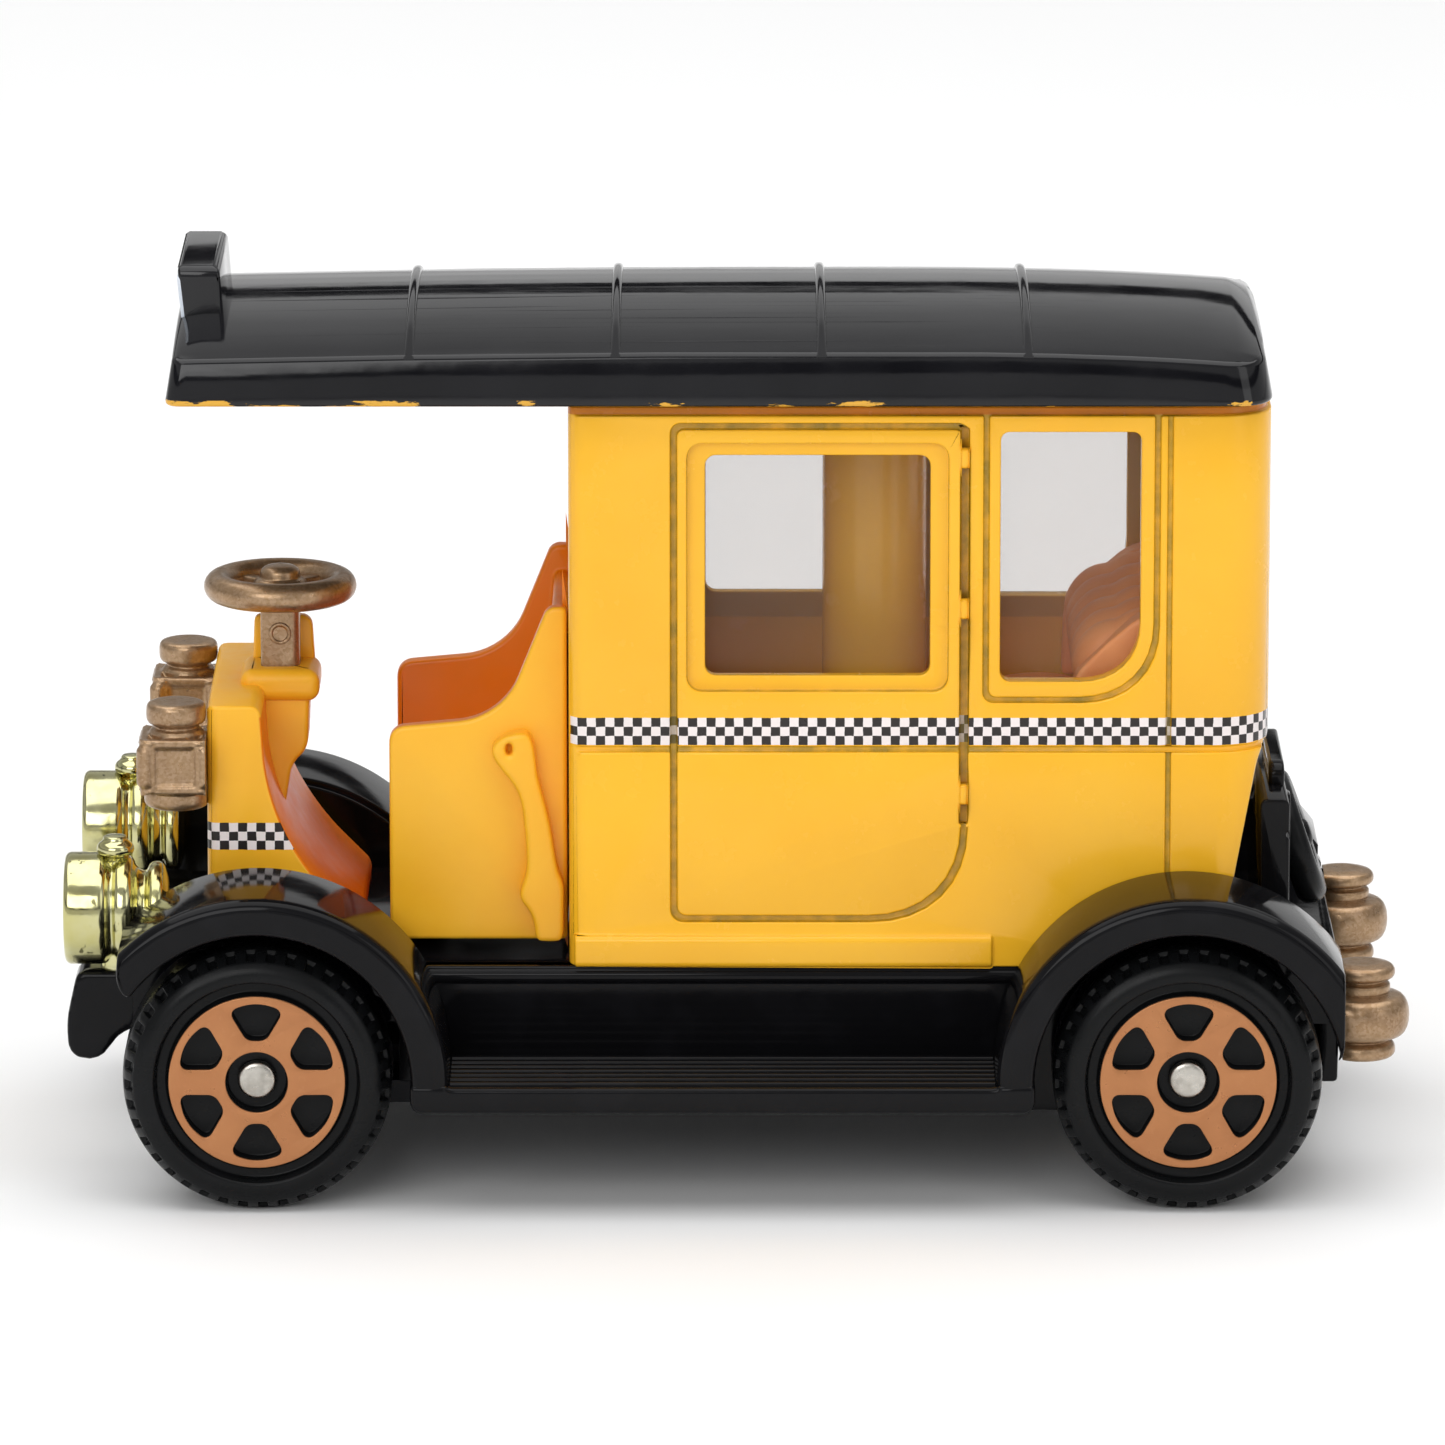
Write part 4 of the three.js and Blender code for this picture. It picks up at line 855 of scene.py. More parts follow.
def slice_grid(piece, xs, ys):
    pick(piece)
    bpy.ops.object.mode_set(mode="EDIT")
    for x in xs:
        bpy.ops.mesh.select_all(action="SELECT")
        bpy.ops.mesh.bisect(plane_co=(x * MM, 0, 0), plane_no=(1, 0, 0))
    for y in ys:
        bpy.ops.mesh.select_all(action="SELECT")
        bpy.ops.mesh.bisect(plane_co=(0, y * MM, 0), plane_no=(0, 1, 0))
    bpy.ops.object.mode_set(mode="OBJECT")


def steps_between(start, end, count):
    return [start + (end - start) * (i + 0.5) / count for i in range(count)]


crease_x = (ROOF_FRONT + FLARE, CAB_REAR - FLARE)
crease_half = ROOF_HALF - FLARE
roof_plan = rounded(box_outline(crease_x, (-crease_half, crease_half), (0.7, 1.9, 1.9, 0.7)), 10)
roof = plate("roof_canopy", roof_plan, (ROOF_LIP, ROOF_CREASE), "up")
slice_grid(roof, steps_between(crease_x[0], crease_x[1], CUTS_ALONG),
           steps_between(-crease_half, crease_half, CUTS_ACROSS))
for vertex in roof.data.vertices:
    x, y, z = vertex.co / MM
    if z > ROOF_CREASE - 0.1:
        vertex.co.z += crown_height(x, y) * MM
    else:
        middle = (crease_x[0] + crease_x[1]) / 2
        vertex.co.x += FLARE * MM * (x - middle) / (crease_x[1] - middle)
        vertex.co.y += FLARE * MM * y / crease_half
hollow = block("hollow", (crease_x[0] + 1.2, CAB_FRONT + 0.6), (-crease_half + 1.0, crease_half - 1.0),
               (ROOF_LIP - 1, ROOF_CREASE - 0.7))
carve(roof, hollow)
soften(roof, 0.22, 4, 40)
install(roof, roof_enamel, "roof_paint", "chassis")

# %% [markdown]
# Four half-round ribs cross the roof and thin out towards its edges. The roof has another height under
# each of them, so a copy of one rib would float or sink. A function makes each as a straight bar, slices
# it, and lifts its points by the formula that shaped the roof.

# %% Roof ribs
RIB_COUNT = 4
RIB_PITCH = (CAB_REAR - ROOF_FRONT) / 5.38
FIRST_RIB = ROOF_FRONT + 10.6
RIB_PROFILE = rounded(box_outline((-0.22, 0.22), (-0.35, 0.2), (0.02, 0.02, 0.2, 0.2)), 4)


def roof_rib(name, x):
    rib = plate(name, [(x + a, b) for a, b in RIB_PROFILE], (-crease_half, crease_half), "across")
    slice_grid(rib, [], steps_between(-crease_half, crease_half, CUTS_ACROSS))
    for vertex in rib.data.vertices:
        y = vertex.co.y / MM
        fading = max(0.0, abs(y) / crease_half - 0.7) / 0.3
        vertex.co.z *= 1 - 0.75 * fading
        vertex.co.z += (ROOF_CREASE + crown_height(x, y) - 0.06 * fading) * MM
    return smooth(rib, 50)


for i in range(RIB_COUNT):
    rib = roof_rib(f"roof_rib_{i + 1}", FIRST_RIB + i * RIB_PITCH)
    install(rib, roof_enamel, "roof_paint", "chassis")

# %% [markdown]
# The sign box stands at the front edge of the roof and leans forward slightly. Its thin printed face
# wraps the front edges, so a pale strip shows from the side, and it carries no words here.

# %% Roof sign
SIGN_HALF = 4.4
SIGN_TOP = cab_high.z + 0.25
SIGN_FRONT = ROOF_FRONT + 0.35
sign_side = rounded([(SIGN_FRONT + 0.4, ROOF_CREASE - 0.6), (SIGN_FRONT + 2.15, ROOF_CREASE - 0.6),
                     (SIGN_FRONT + 1.85, SIGN_TOP, 0.4), (SIGN_FRONT, SIGN_TOP, 0.3)])
sign = plate("roof_sign", sign_side, (-SIGN_HALF, SIGN_HALF), "across")
sign_front = box_outline((-SIGN_HALF, SIGN_HALF), (ROOF_CREASE - 2, SIGN_TOP), (0, 0, 0.5, 0.5))
sign_plan = box_outline((SIGN_FRONT - 1, SIGN_FRONT + 2.2), (-SIGN_HALF, SIGN_HALF), (0, 0.4, 0.4, 0))
keep_within(sign, plate("sign_front", rounded(sign_front), (ROOF_FRONT - 1, ROOF_FRONT + 4), "along"))
keep_within(sign, plate("sign_plan", rounded(sign_plan), (ROOF_CREASE - 2, SIGN_TOP + 1), "up"))
soften(sign, 0.16, 4)
install(sign, roof_enamel, "roof_paint", "chassis")
PANEL_Z = (SIGN_TOP - 2.75, SIGN_TOP - 0.45)
panel_outline = box_outline((0.03 - SIGN_HALF, SIGN_HALF - 0.03), PANEL_Z, (0.2,) * 4)
panel = plate("sign_panel", rounded(panel_outline), (SIGN_FRONT, SIGN_FRONT + 1.5), "along")
for vertex in panel.data.vertices:
    front = vertex.co.x < (SIGN_FRONT + 1) * MM
    lean = 0.1 * (SIGN_TOP - vertex.co.z / MM)
    vertex.co.x = (SIGN_FRONT + lean + (-0.06 if front else 0.26)) * MM
soften(panel, 0.05, 2)
install(panel, sign_face_print, "belt_print", "chassis")

# %% [markdown]
# The window insert is already the right shape in the frame, so it stays and only gets its finish.

# %% Glazing


def dress(node, material):
    """Gives a CAD node that stays in view its finish."""
    for material_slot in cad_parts[node].material_slots:
        material_slot.material = material
    print(node, "wears", material.name)


dress("window_glazing", smoked_glazing)

# %% [markdown]
# The driver sits outside, in a moulded tub between two side walls that sweep up to the cab. Each wall
# is one outline in the side view, and the bench and the back board fill the space between them.

# %% Driver's tub
TUB_REAR = front_high.x
TUB_FRONT = TUB_REAR - 7.8
TUB_HALF = front_high.y
TUB_WALL = 0.9
TUB_TOP = front_high.z - 2.7
FLOOR_TOP = DECK_TOP + 0.7
TUB_SIDE_TOP = DECK_TOP + 10.2

tub_side = rounded([
    (TUB_FRONT, FLOOR_TOP - 0.05), (TUB_REAR, FLOOR_TOP - 0.05), (TUB_REAR, TUB_TOP, 0.3),
    (TUB_REAR - 0.85, TUB_TOP, 0.4), (TUB_REAR - 2.85, TUB_SIDE_TOP + 0.45, 1.9),
    (TUB_FRONT, TUB_SIDE_TOP, 0.7),
], 10)
tub = block("driver_tub", (TUB_FRONT + 0.5, TUB_REAR - 0.2), (-TUB_HALF + 0.3, TUB_HALF - 0.3),
            (FLOOR_TOP, DECK_TOP + 5.2))
for word, side in BOTH_SIDES:
    wall = on_side(side, TUB_HALF - TUB_WALL, TUB_HALF)
    weld_on(tub, plate("wall", tub_side, wall, "across"))
back_board = rounded([(TUB_REAR, FLOOR_TOP), (TUB_REAR, TUB_TOP - 1.2, 0.3),
                      (TUB_REAR - 0.7, TUB_TOP - 1.2, 0.3), (TUB_REAR - 1.5, DECK_TOP + 5.0)], 5)
weld_on(tub, plate("back", back_board, (-TUB_HALF + 0.4, TUB_HALF - 0.4), "across"))
cushion_side = rounded([(TUB_FRONT + 0.35, DECK_TOP + 4.6, 0.3), (TUB_REAR - 1.3, DECK_TOP + 4.6),
                        (TUB_REAR - 1.3, DECK_TOP + 6.0, 0.5), (TUB_FRONT + 0.35, DECK_TOP + 6.0, 0.6)], 5)
weld_on(tub, plate("cushion", cushion_side, (-TUB_HALF + 0.6, TUB_HALF - 0.6), "across"))
soften(tub, 0.2, 4)

# %% [markdown]
# The tub's sides carry a moulded relief of the hand brake: a forked top with a small pit, and a long
# lever that widens to its foot. One thick outline, melted into an even skin, reads as soft plastic.

# %% Brake lever relief


def brake_relief(word, side):
    raised = on_side(side, TUB_HALF - 0.4, TUB_HALF + 0.95)
    x, z = TUB_REAR, DECK_TOP
    lever = rounded([
        (x - 2.3, z + 10.15, 0.3), (x - 1.66, z + 10.2, 0.3), (x - 1.4, z + 9.4, 0.3),
        (x - 1.3, z + 8.2, 0.5), (x - 0.75, z + 6.2, 0.8), (x - 0.4, z + 3.9, 0.5),
        (x - 0.12, z + 3.4, 0.3), (x - 0.16, z + 0.75, 0.3),
        (x - 1.4, z + 0.75, 0.3), (x - 1.5, z + 1.9, 0.4), (x - 2.2, z + 2.8, 0.4), (x - 1.75, z + 3.8, 0.5),
        (x - 1.8, z + 5.2, 0.6), (x - 2.0, z + 7.1, 0.5), (x - 2.3, z + 7.8, 0.4), (x - 3.05, z + 8.7, 0.4),
        (x - 3.4, z + 9.35, 0.4), (x - 3.0, z + 9.9, 0.4),
    ], 5)
    relief = plate(f"brake_lever_{word}", lever, raised, "across")
    pit = box_outline((x - 2.68, x - 2.38), (z + 9.1, z + 9.75), (0.1,) * 4)
    carve(relief, plate("pit", rounded(pit, 4), on_side(side, TUB_HALF + 0.15, TUB_HALF + 1.5), "across"))
    melted(relief, 0.1, 24)
    return install(relief, yellow_moulding, "yellow_plastic", "chassis")


# Painted shade: the tub's inner faces get the deep orange.
mark_inner_shade(tub, lambda spot, facing: abs(spot.y) < TUB_HALF - 0.3 and facing.x < 0.5)
install(tub, yellow_moulding, "yellow_plastic", "chassis", "front_body")
for word, side in BOTH_SIDES:
    brake_relief(word, side)

# %% [markdown]
# The cowl in front of the driver is a tall hollow-backed block: its rear surface is a long concave
# curve that runs out onto the black floor. A plan trims the side view to round its front corners. The
# floor is a thin black plate between cowl and tub, with a raised toe against the cowl's foot.

# %% Cowl and footwell floor
COWL_FRONT = front_low.x
COWL_HALF = 6.5
COWL_TOP = DECK_TOP + 11.06
COWL_CORNER = 0.6
cowl_side = rounded([
    (COWL_FRONT, DECK_TOP), (COWL_FRONT + 6.85, DECK_TOP), (COWL_FRONT + 6.85, DECK_TOP + 1.05, 0.3),
    (COWL_FRONT + 4.25, DECK_TOP + 3.7, 2.2), (COWL_FRONT + 2.65, DECK_TOP + 7.1, 1.8),
    (COWL_FRONT + 2.4, COWL_TOP, 0.5), (COWL_FRONT + 0.05, COWL_TOP, 0.3),
], 10)
cowl = plate("cowl", cowl_side, (-COWL_HALF, COWL_HALF), "across")
cowl_plan = box_outline((COWL_FRONT, COWL_FRONT + 8), (-COWL_HALF, COWL_HALF),
                        (COWL_CORNER, 0, 0, COWL_CORNER))
keep_within(cowl, plate("cowl_plan", rounded(cowl_plan, 8), (DECK_TOP - 1, COWL_TOP + 1), "up"))
soften(cowl, 0.16, 3)
measure_run(cowl, COWL_FRONT + 7, COWL_FRONT, COWL_HALF, COWL_CORNER)
# Painted shade: the cowl's hollow back gets the deep orange.
mark_inner_shade(cowl, lambda spot, facing: facing.x > 0.3 and spot.z < COWL_TOP - 0.5)
install(cowl, yellow_moulding, "yellow_plastic", "chassis")

TOE_X = COWL_FRONT + 5.5
footwell_side = rounded([
    (TOE_X, DECK_TOP), (TUB_FRONT + 0.8, DECK_TOP), (TUB_FRONT + 0.8, FLOOR_TOP, 0.2),
    (TOE_X + 1.0, FLOOR_TOP, 0.4), (TOE_X + 0.5, FLOOR_TOP + 0.25, 0.2), (TOE_X, FLOOR_TOP + 0.25),
], 4)
footwell = plate("footwell_floor", footwell_side, (0.2 - COWL_HALF, COWL_HALF - 0.2), "across")
soften(footwell, 0.1, 3, 40)
install(footwell, gloss_moulding, "gloss_black", "chassis")

# %% [markdown]
# On the cowl stands the collar that holds the steering post: a cushion-like roll, a stem that runs down
# the cowl's hollow back to a point, and a tongue beside the post. Each of the three is rounded by
# itself, because one bevel would not suit all their edges, and then they are joined.

# %% Steering collar
COLUMN_X = COWL_FRONT + 3.1
COLUMN_Y = -0.5
COLLAR_TOP = COWL_TOP + 0.64


def squared_roll(name, x, y, z, edge):
    """A low cushion: a rounded plan whose top and bottom edges are rolled over."""
    half = 1.75
    plan = box_outline((x - half, x + half), (y - half, y + half), (0.5,) * 4)
    return soften(plate(name, rounded(plan, 6), z, "up"), edge, 6)


collar = squared_roll("steering_collar", COLUMN_X, COLUMN_Y, (COLLAR_TOP - 1.45, COLLAR_TOP), 0.55)
stem_side = rounded([(COLUMN_X - 0.9, DECK_TOP + 4.2), (COLUMN_X, DECK_TOP + 4.2, 0.3),
                     (COLUMN_X + 0.5, DECK_TOP + 7.4, 0.5), (COLUMN_X + 1.2, DECK_TOP + 8.0, 0.5),
                     (COLUMN_X + 1.3, COLLAR_TOP - 1.2), (COLUMN_X - 1.35, COLLAR_TOP - 1.2)], 6)
stem = soften(plate("stem", stem_side, (COLUMN_Y - 1.35, COLUMN_Y + 1.35), "across"), 0.25, 4)
tongue_side = rounded([(COLUMN_X - 1.3, COLLAR_TOP - 0.6), (COLUMN_X + 1.5, COLLAR_TOP - 0.6),
                       (COLUMN_X + 1.35, COLLAR_TOP + 1.9, 0.5), (COLUMN_X - 1.2, COLLAR_TOP + 1.9, 0.3)], 5)
tongue = soften(plate("tongue", tongue_side, (COLUMN_Y + 1.0, COLUMN_Y + 1.7), "across"), 0.16, 3)
collar = smooth(gather("steering_collar", [collar, stem, tongue]))
install(collar, yellow_moulding, "yellow_plastic", "chassis")

# %% [markdown]
# The steering wheel is a torus with a domed hub and four broad spokes that widen towards the middle, on a
# square post. The parts overlap, so a union makes one skin of them.

# %% Steering wheel
wheel_low, wheel_high = measured("steering_wheel")
RIM_TUBE = 0.64
RIM_RADIUS = (wheel_high.x - wheel_low.x) / 2 - RIM_TUBE
RIM_Z = DECK_TOP + 15.2
deselect()
bpy.ops.mesh.primitive_torus_add(major_radius=RIM_RADIUS * MM, minor_radius=RIM_TUBE * MM, major_segments=72,
                                 minor_segments=24, location=(COLUMN_X * MM, COLUMN_Y * MM, RIM_Z * MM))
rim = settle(named("steering_wheel"))
hub_profile = rounded([(0, -0.55), (1.1, -0.55, 0.2), (1.25, 0.1, 0.2), (1.05, 0.34, 0.15), (0.9, 0.36, 0.1),
                       (0.84, 0.85, 0.35), (0, 1.0)], 5)
weld_on(rim, turned("hub", hub_profile, (COLUMN_X, COLUMN_Y, RIM_Z), "up", 40))
for turn in (45, 135):
    spoke = block("spoke", (-RIM_RADIUS, RIM_RADIUS), (-0.36, 0.36), (-0.3, 0.16))
    slice_grid(spoke, steps_between(-RIM_RADIUS, RIM_RADIUS, 12), [])
    soften(spoke, 0.14, 3)
    for vertex in spoke.data.vertices:
        vertex.co.y *= 1.25 - 0.35 * abs(vertex.co.x / MM) / RIM_RADIUS
    spoke.rotation_euler.z = math.radians(turn)
    spoke.location = Vector((COLUMN_X, COLUMN_Y, RIM_Z)) * MM
    weld_on(rim, settle(spoke))
post_plan = rounded(box_outline((COLUMN_X - 0.86, COLUMN_X + 0.86), (COLUMN_Y - 0.86, COLUMN_Y + 0.86),
                                (0.22, 0.5, 0.5, 0.22)), 5)
steering_post = plate("post", post_plan, (COLLAR_TOP - 0.6, RIM_Z - 0.2), "up")
badge = turned("badge", rounded([(0, 0), (0.5, 0), (0.5, 0.16, 0.1), (0.36, 0.16, 0.05), (0.32, 0.08, 0.04),
                                 (0, 0.08)], 3), (COLUMN_X, 0, COLLAR_TOP + 1.5), "across", 24)
for vertex in badge.data.vertices:
    vertex.co.y = (COLUMN_Y - 0.8) * MM - vertex.co.y
weld_on(steering_post, badge)
weld_on(rim, steering_post)
smooth(rim, 34)
install(rim, bronze_paint, "bronze_paint", "chassis", "steering_wheel")

# %% [markdown]
# The headlamps are drums that lie along the car, with a cap on top and a foot below. All three are
# turned shapes, so each is a profile spun round its axis, and a union makes one skin of them. Rounding
# the profile's corners first gives soft mouldings.

# %% Headlamps
lamp_low, lamp_high = measured("headlamp_left")
HEADLAMP_Z = DECK_TOP + 2.3
HEADLAMP_Y = -(lamp_low.y + lamp_high.y) / 2
LAMP_FRONT = lamp_low.x


def headlamp(word, side):
    front = LAMP_FRONT
    drum = rounded([
        (0, 0.75), (1.2, 0.62, 0.3), (1.85, 0.32, 0.15), (2.0, 0.03, 0.12), (2.3, 0.03, 0.12),
        (2.47, 0.2, 0.12), (2.47, 1.75, 0.2), (2.2, 1.95, 0.15), (2.1, 2.15, 0.1),
        (2.36, 2.35, 0.2), (2.36, 2.95, 0.35),
        (1.8, 3.15, 0.2), (1.65, 3.45, 0.15), (1.65, 3.6, 0.1), (2.05, 3.8, 0.2), (2.05, 4.35, 0.25),
        (1.3, 4.55, 0.2), (0, 4.6),
    ], 5)
    centre = (front, side * HEADLAMP_Y, HEADLAMP_Z)
    lamp = turned(f"headlamp_{word}", drum, centre, "along", 72)
    cap = rounded([(0, 1.4), (0.55, 1.4), (0.5, 2.3, 0.2), (0.82, 2.5, 0.15), (0.82, 2.85, 0.2),
                   (0.55, 3.05, 0.15), (0.5, 3.25, 0.1), (0, 3.3)], 5)
    foot = rounded([(0, -2.9), (0.75, -2.9), (0.65, -2.2, 0.3), (0.9, -1.2), (0, -1.2)], 4)
    above = (front + 2.25, side * HEADLAMP_Y, HEADLAMP_Z)
    weld_on(lamp, turned("cap", cap, above, "up", 32), turned("foot", foot, above, "up", 24))
    smooth(lamp, 40)
    return install(lamp, gold_plating, "gold_chrome", "chassis", f"headlamp_{word}")


for word, side in BOTH_SIDES:
    headlamp(word, side)

# %% [markdown]
# A headlamp's glass is a shallow pressed lens: a turned dome with flutes across it, set in the rim.

# %% Headlamp lenses
glass = Finish("lamp_lens", srgb(236, 238, 232), 0.12, specular=0.5)
glass.shader.inputs["Transmission Weight"].default_value = 0.25
glass.drift(srgb(216, 218, 208), 0.8)
glass.rough(0.08, 0.2, 0.5)
glass.raise_by(glass.noise(0.2, 2.0, 0.5, (1, 1, 0.15)), 0.02)
lamp_lens = glass.done()

for word, side in BOTH_SIDES:
    dome = rounded([(0, 0.12), (1.0, 0.2, 0.3), (1.8, 0.42, 0.1), (1.8, 0.8), (0, 0.8)], 6)
    lens = turned(f"headlamp_lens_{word}", dome, (LAMP_FRONT, side * HEADLAMP_Y, HEADLAMP_Z), "along", 48)
    install(smooth(lens, 40), lamp_lens, "glazing", "chassis")

# %% [markdown]
# The cowl lamps are small square lanterns between rolls. The window on each face is an inset that is
# pushed in: the large faces are picked by their area, inset one by one, and moved back along their
# normals. A voxel remesh then melts all the parts into one soft casting, and a block cuts it flat where
# it meets the cowl.

# %% Cowl lamps
cowl_lamp_low, cowl_lamp_high = measured("cowl_lamp_left")


def lantern_box(name, x, y, z, half, height):
    box = plate(name, rounded(box_outline((x - half, x + half), (y - half, y + half), (0.3,) * 4), 4),
                (z, z + height), "up")
    pick(box)
    bpy.ops.object.mode_set(mode="EDIT")
    bpy.ops.mesh.select_all(action="DESELECT")
    bpy.ops.object.mode_set(mode="OBJECT")
    for polygon in box.data.polygons:
        polygon.select = polygon.area > half * height * MM * MM
    bpy.ops.object.mode_set(mode="EDIT")
    bpy.ops.mesh.inset(thickness=0.32 * MM, use_individual=True)
    bpy.ops.mesh.inset(thickness=0.12 * MM, depth=-0.16 * MM, use_individual=True)
    bpy.ops.object.mode_set(mode="OBJECT")
    return soften(box, 0.06, 3)


def upright_roll(name, x, y, low, high, radius, waist):
    profile = rounded([(0, low), (waist, low), (radius, low + 0.08, 0.3), (radius, high - 0.08, 0.3),
                       (waist, high), (0, high)], 6)
    return turned(name, profile, (x, y, 0), "up", 40)


def cowl_lamp(word, side):
    x = (cowl_lamp_low.x + cowl_lamp_high.x) / 2 + 0.3
    y = side * -(cowl_lamp_low.y + cowl_lamp_high.y) / 2
    low = cowl_lamp_low.z
    parts = [
        upright_roll("foot", x, y, low, low + 1.0, 1.45, 0.9),
        lantern_box("lantern", x, y, low + 0.85, 1.55, 2.45),
        upright_roll("neck", x, y, low + 3.1, low + 3.6, 1.2, 0.9),
        upright_roll("gap", x, y, low + 3.5, low + 4.0, 1.0, 0.7),
        upright_roll("crown", x, y, low + 3.75, cowl_lamp_high.z - 0.05, 1.32, 1.0),
    ]
    lamp = melted(gather(f"cowl_lamp_{word}", parts), 0.07, 3)
    carve(lamp, block("cowl_face", (COWL_FRONT + 0.02, COWL_FRONT + 4), (y - 3, y + 3), (low - 1, low + 6)))
    smooth(lamp, 40)
    return install(lamp, bronze_paint, "bronze_paint", "chassis", f"cowl_lamp_{word}")


for word, side in BOTH_SIDES:
    cowl_lamp(word, side)

# %% [markdown]
# The rear lamps are round lanterns hung on the edge of the deck: a foot roll, a ball, and a crown. The
# part that would stand inside the deck is cut away with a block.

# %% Rear lamps
rear_lamp_low, rear_lamp_high = measured("rear_lamp_left")
DECK_REAR = chassis_high.x


def rear_lamp(word, side):
    x = DECK_REAR + 0.95
    y = side * (1.1 - (rear_lamp_low.y + rear_lamp_high.y) / 2)
    low = rear_lamp_low.z + 0.2
    reach = rear_lamp_high.x - x + 0.25
    profile = rounded([
        (0, low), (0.95, low, 0.1), (1.5, low + 0.1, 0.25), (1.5, low + 0.66, 0.25), (1.15, low + 0.8, 0.1),
        (1.25, low + 0.9, 0.15), (reach, low + 1.15, 0.8), (reach, low + 2.75, 0.9), (1.2, low + 2.95, 0.15),
        (1.25, low + 3.0, 0.1), (1.25, low + 3.35, 0.1), (1.02, low + 3.45, 0.1), (1.02, low + 3.55, 0.1),
        (1.45, low + 3.65, 0.2), (1.45, low + 4.15, 0.25), (0.8, low + 4.3, 0.1), (0, low + 4.3),
    ], 5)
    lamp = turned(f"rear_lamp_{word}", profile, (x, y, 0), "up", 48)
    carve(lamp, block("deck_edge", (DECK_REAR - 3, DECK_REAR + 0.1), (y - 3, y + 3), (low - 1, low + 6)))
    smooth(lamp, 40)
    return install(lamp, bronze_paint, "bronze_paint", "chassis", f"rear_lamp_{word}")


for word, side in BOTH_SIDES:
    rear_lamp(word, side)

# %% [markdown]
# A fender is a band about the wheel with a face that turns down towards the tyre. Spinning its section
# a full turn and keeping only the upper part is simpler than steering a sweep, and it leaves clean ends
# where the keeping outline cuts.

# %% Fenders
FRONT_AXLE_X = (measured("front_wheel_left")[0].x + measured("front_wheel_left")[1].x) / 2
CAR_HALF = chassis_high.y
LIP_RADIUS = FENDER_RADIUS - 1.7
SKIN_RADIUS = FENDER_RADIUS - 0.8
FAR = FENDER_RADIUS + 1
SILL_OUTER = CAR_HALF - 5.8


def fender_band(name, axle_x, inner):
    section = rounded([
        (SKIN_RADIUS, inner), (FENDER_RADIUS, inner, 0.1), (FENDER_RADIUS, CAR_HALF, 0.6),
        (LIP_RADIUS + 0.12, CAR_HALF - 0.05, 0.25), (LIP_RADIUS, CAR_HALF - 0.7, 0.2),
        (SKIN_RADIUS - 0.3, CAR_HALF - 0.75, 0.3),
    ], 6)
    return turned(name, section, (axle_x, 0, AXLE_Z), "across", 144)


front_keep = rounded([
    (FRONT_AXLE_X - 5.6, AXLE_Z + 3.9, 0.45), (FRONT_AXLE_X - 4.2, AXLE_Z + 4.3),
    (FRONT_AXLE_X, AXLE_Z + 2), (FRONT_AXLE_X + FAR, AXLE_Z - 0.9),
    (FRONT_AXLE_X + FAR, AXLE_Z + FAR), (FRONT_AXLE_X - FAR, AXLE_Z + FAR), (FRONT_AXLE_X - FAR, AXLE_Z + 7),
    (FRONT_AXLE_X - 5.95, AXLE_Z + 6.3, 0.6), (FRONT_AXLE_X - 6.05, AXLE_Z + 4.7, 0.6),
], 6)
rear_keep = rounded([
    (REAR_AXLE_X - FAR, AXLE_Z - 0.9), (REAR_AXLE_X, AXLE_Z), (REAR_AXLE_X + 6.2, AXLE_Z + 0.75, 0.5),
    (REAR_AXLE_X + 6.75, AXLE_Z + 1.3, 0.7), (REAR_AXLE_X + 6.75, AXLE_Z + FAR),
    (REAR_AXLE_X - FAR, AXLE_Z + FAR),
], 6)


def fender(end, axle_x, inner, keep):
    made = keep_within(fender_band(f"{end}_fender_right", axle_x, inner),
                       plate("keep", keep, (0, CAR_HALF + 1), "across"))
    soften(made, 0.12, 3, 40)
    for copy in (twin(made, f"{end}_fender_left", mirror=True), made):
        install(smooth(copy, 45), gloss_moulding, "gloss_black", "chassis")


fender("front", FRONT_AXLE_X, SILL_OUTER - 0.4, front_keep)
fender("rear", REAR_AXLE_X, CAB_HALF + 0.1, rear_keep)

# %% [markdown]
# A closed wall fills each wheel arch on the chassis side. The rear walls are cut by the cab's own
# shape, grown by a tenth of a millimetre, so that the casting drops in between them.

# %% Wheel arch walls


def arch_wall(end, axle_x, outer, front, back):
    wall = rounded([(0, SILL_OUTER - 0.8), (FENDER_RADIUS - 0.25, SILL_OUTER - 0.8, 0.1),
                    (FENDER_RADIUS - 0.25, outer, 0.2), (0, outer)], 4)
    disc = turned(f"{end}_arch_right", wall, (axle_x, 0, AXLE_Z), "across", 96)
    keep = [(front, AXLE_Z - 2.4), (axle_x - 1.4, AXLE_Z - 2.4), (axle_x - 1.4, AXLE_Z + 1.5),
            (back, AXLE_Z + 1.5), (back, AXLE_Z + FAR), (front, AXLE_Z + FAR)]
    keep_within(disc, plate("keep", rounded(keep), (0, CAR_HALF), "across"))
    if end == "rear":
        carve(disc, cab_solid(-0.1))
    soften(disc, 0.08, 2, 40)
    for copy in (twin(disc, f"{end}_arch_left", mirror=True), disc):
        install(smooth(copy, 45), gloss_moulding, "gloss_black", "chassis")


arch_wall("front", FRONT_AXLE_X, SILL_OUTER, FRONT_AXLE_X - 5.6, FRONT_AXLE_X + FAR)
arch_wall("rear", REAR_AXLE_X, CAB_HALF + 0.35, REAR_AXLE_X - FAR, DECK_REAR)

# %% [markdown]
# Between the fenders lie the running boards, with fine ribs along their tops and legs that run up into
# the fenders. Above each stands a plain glossy sill with one rounded rail along its upper edge.

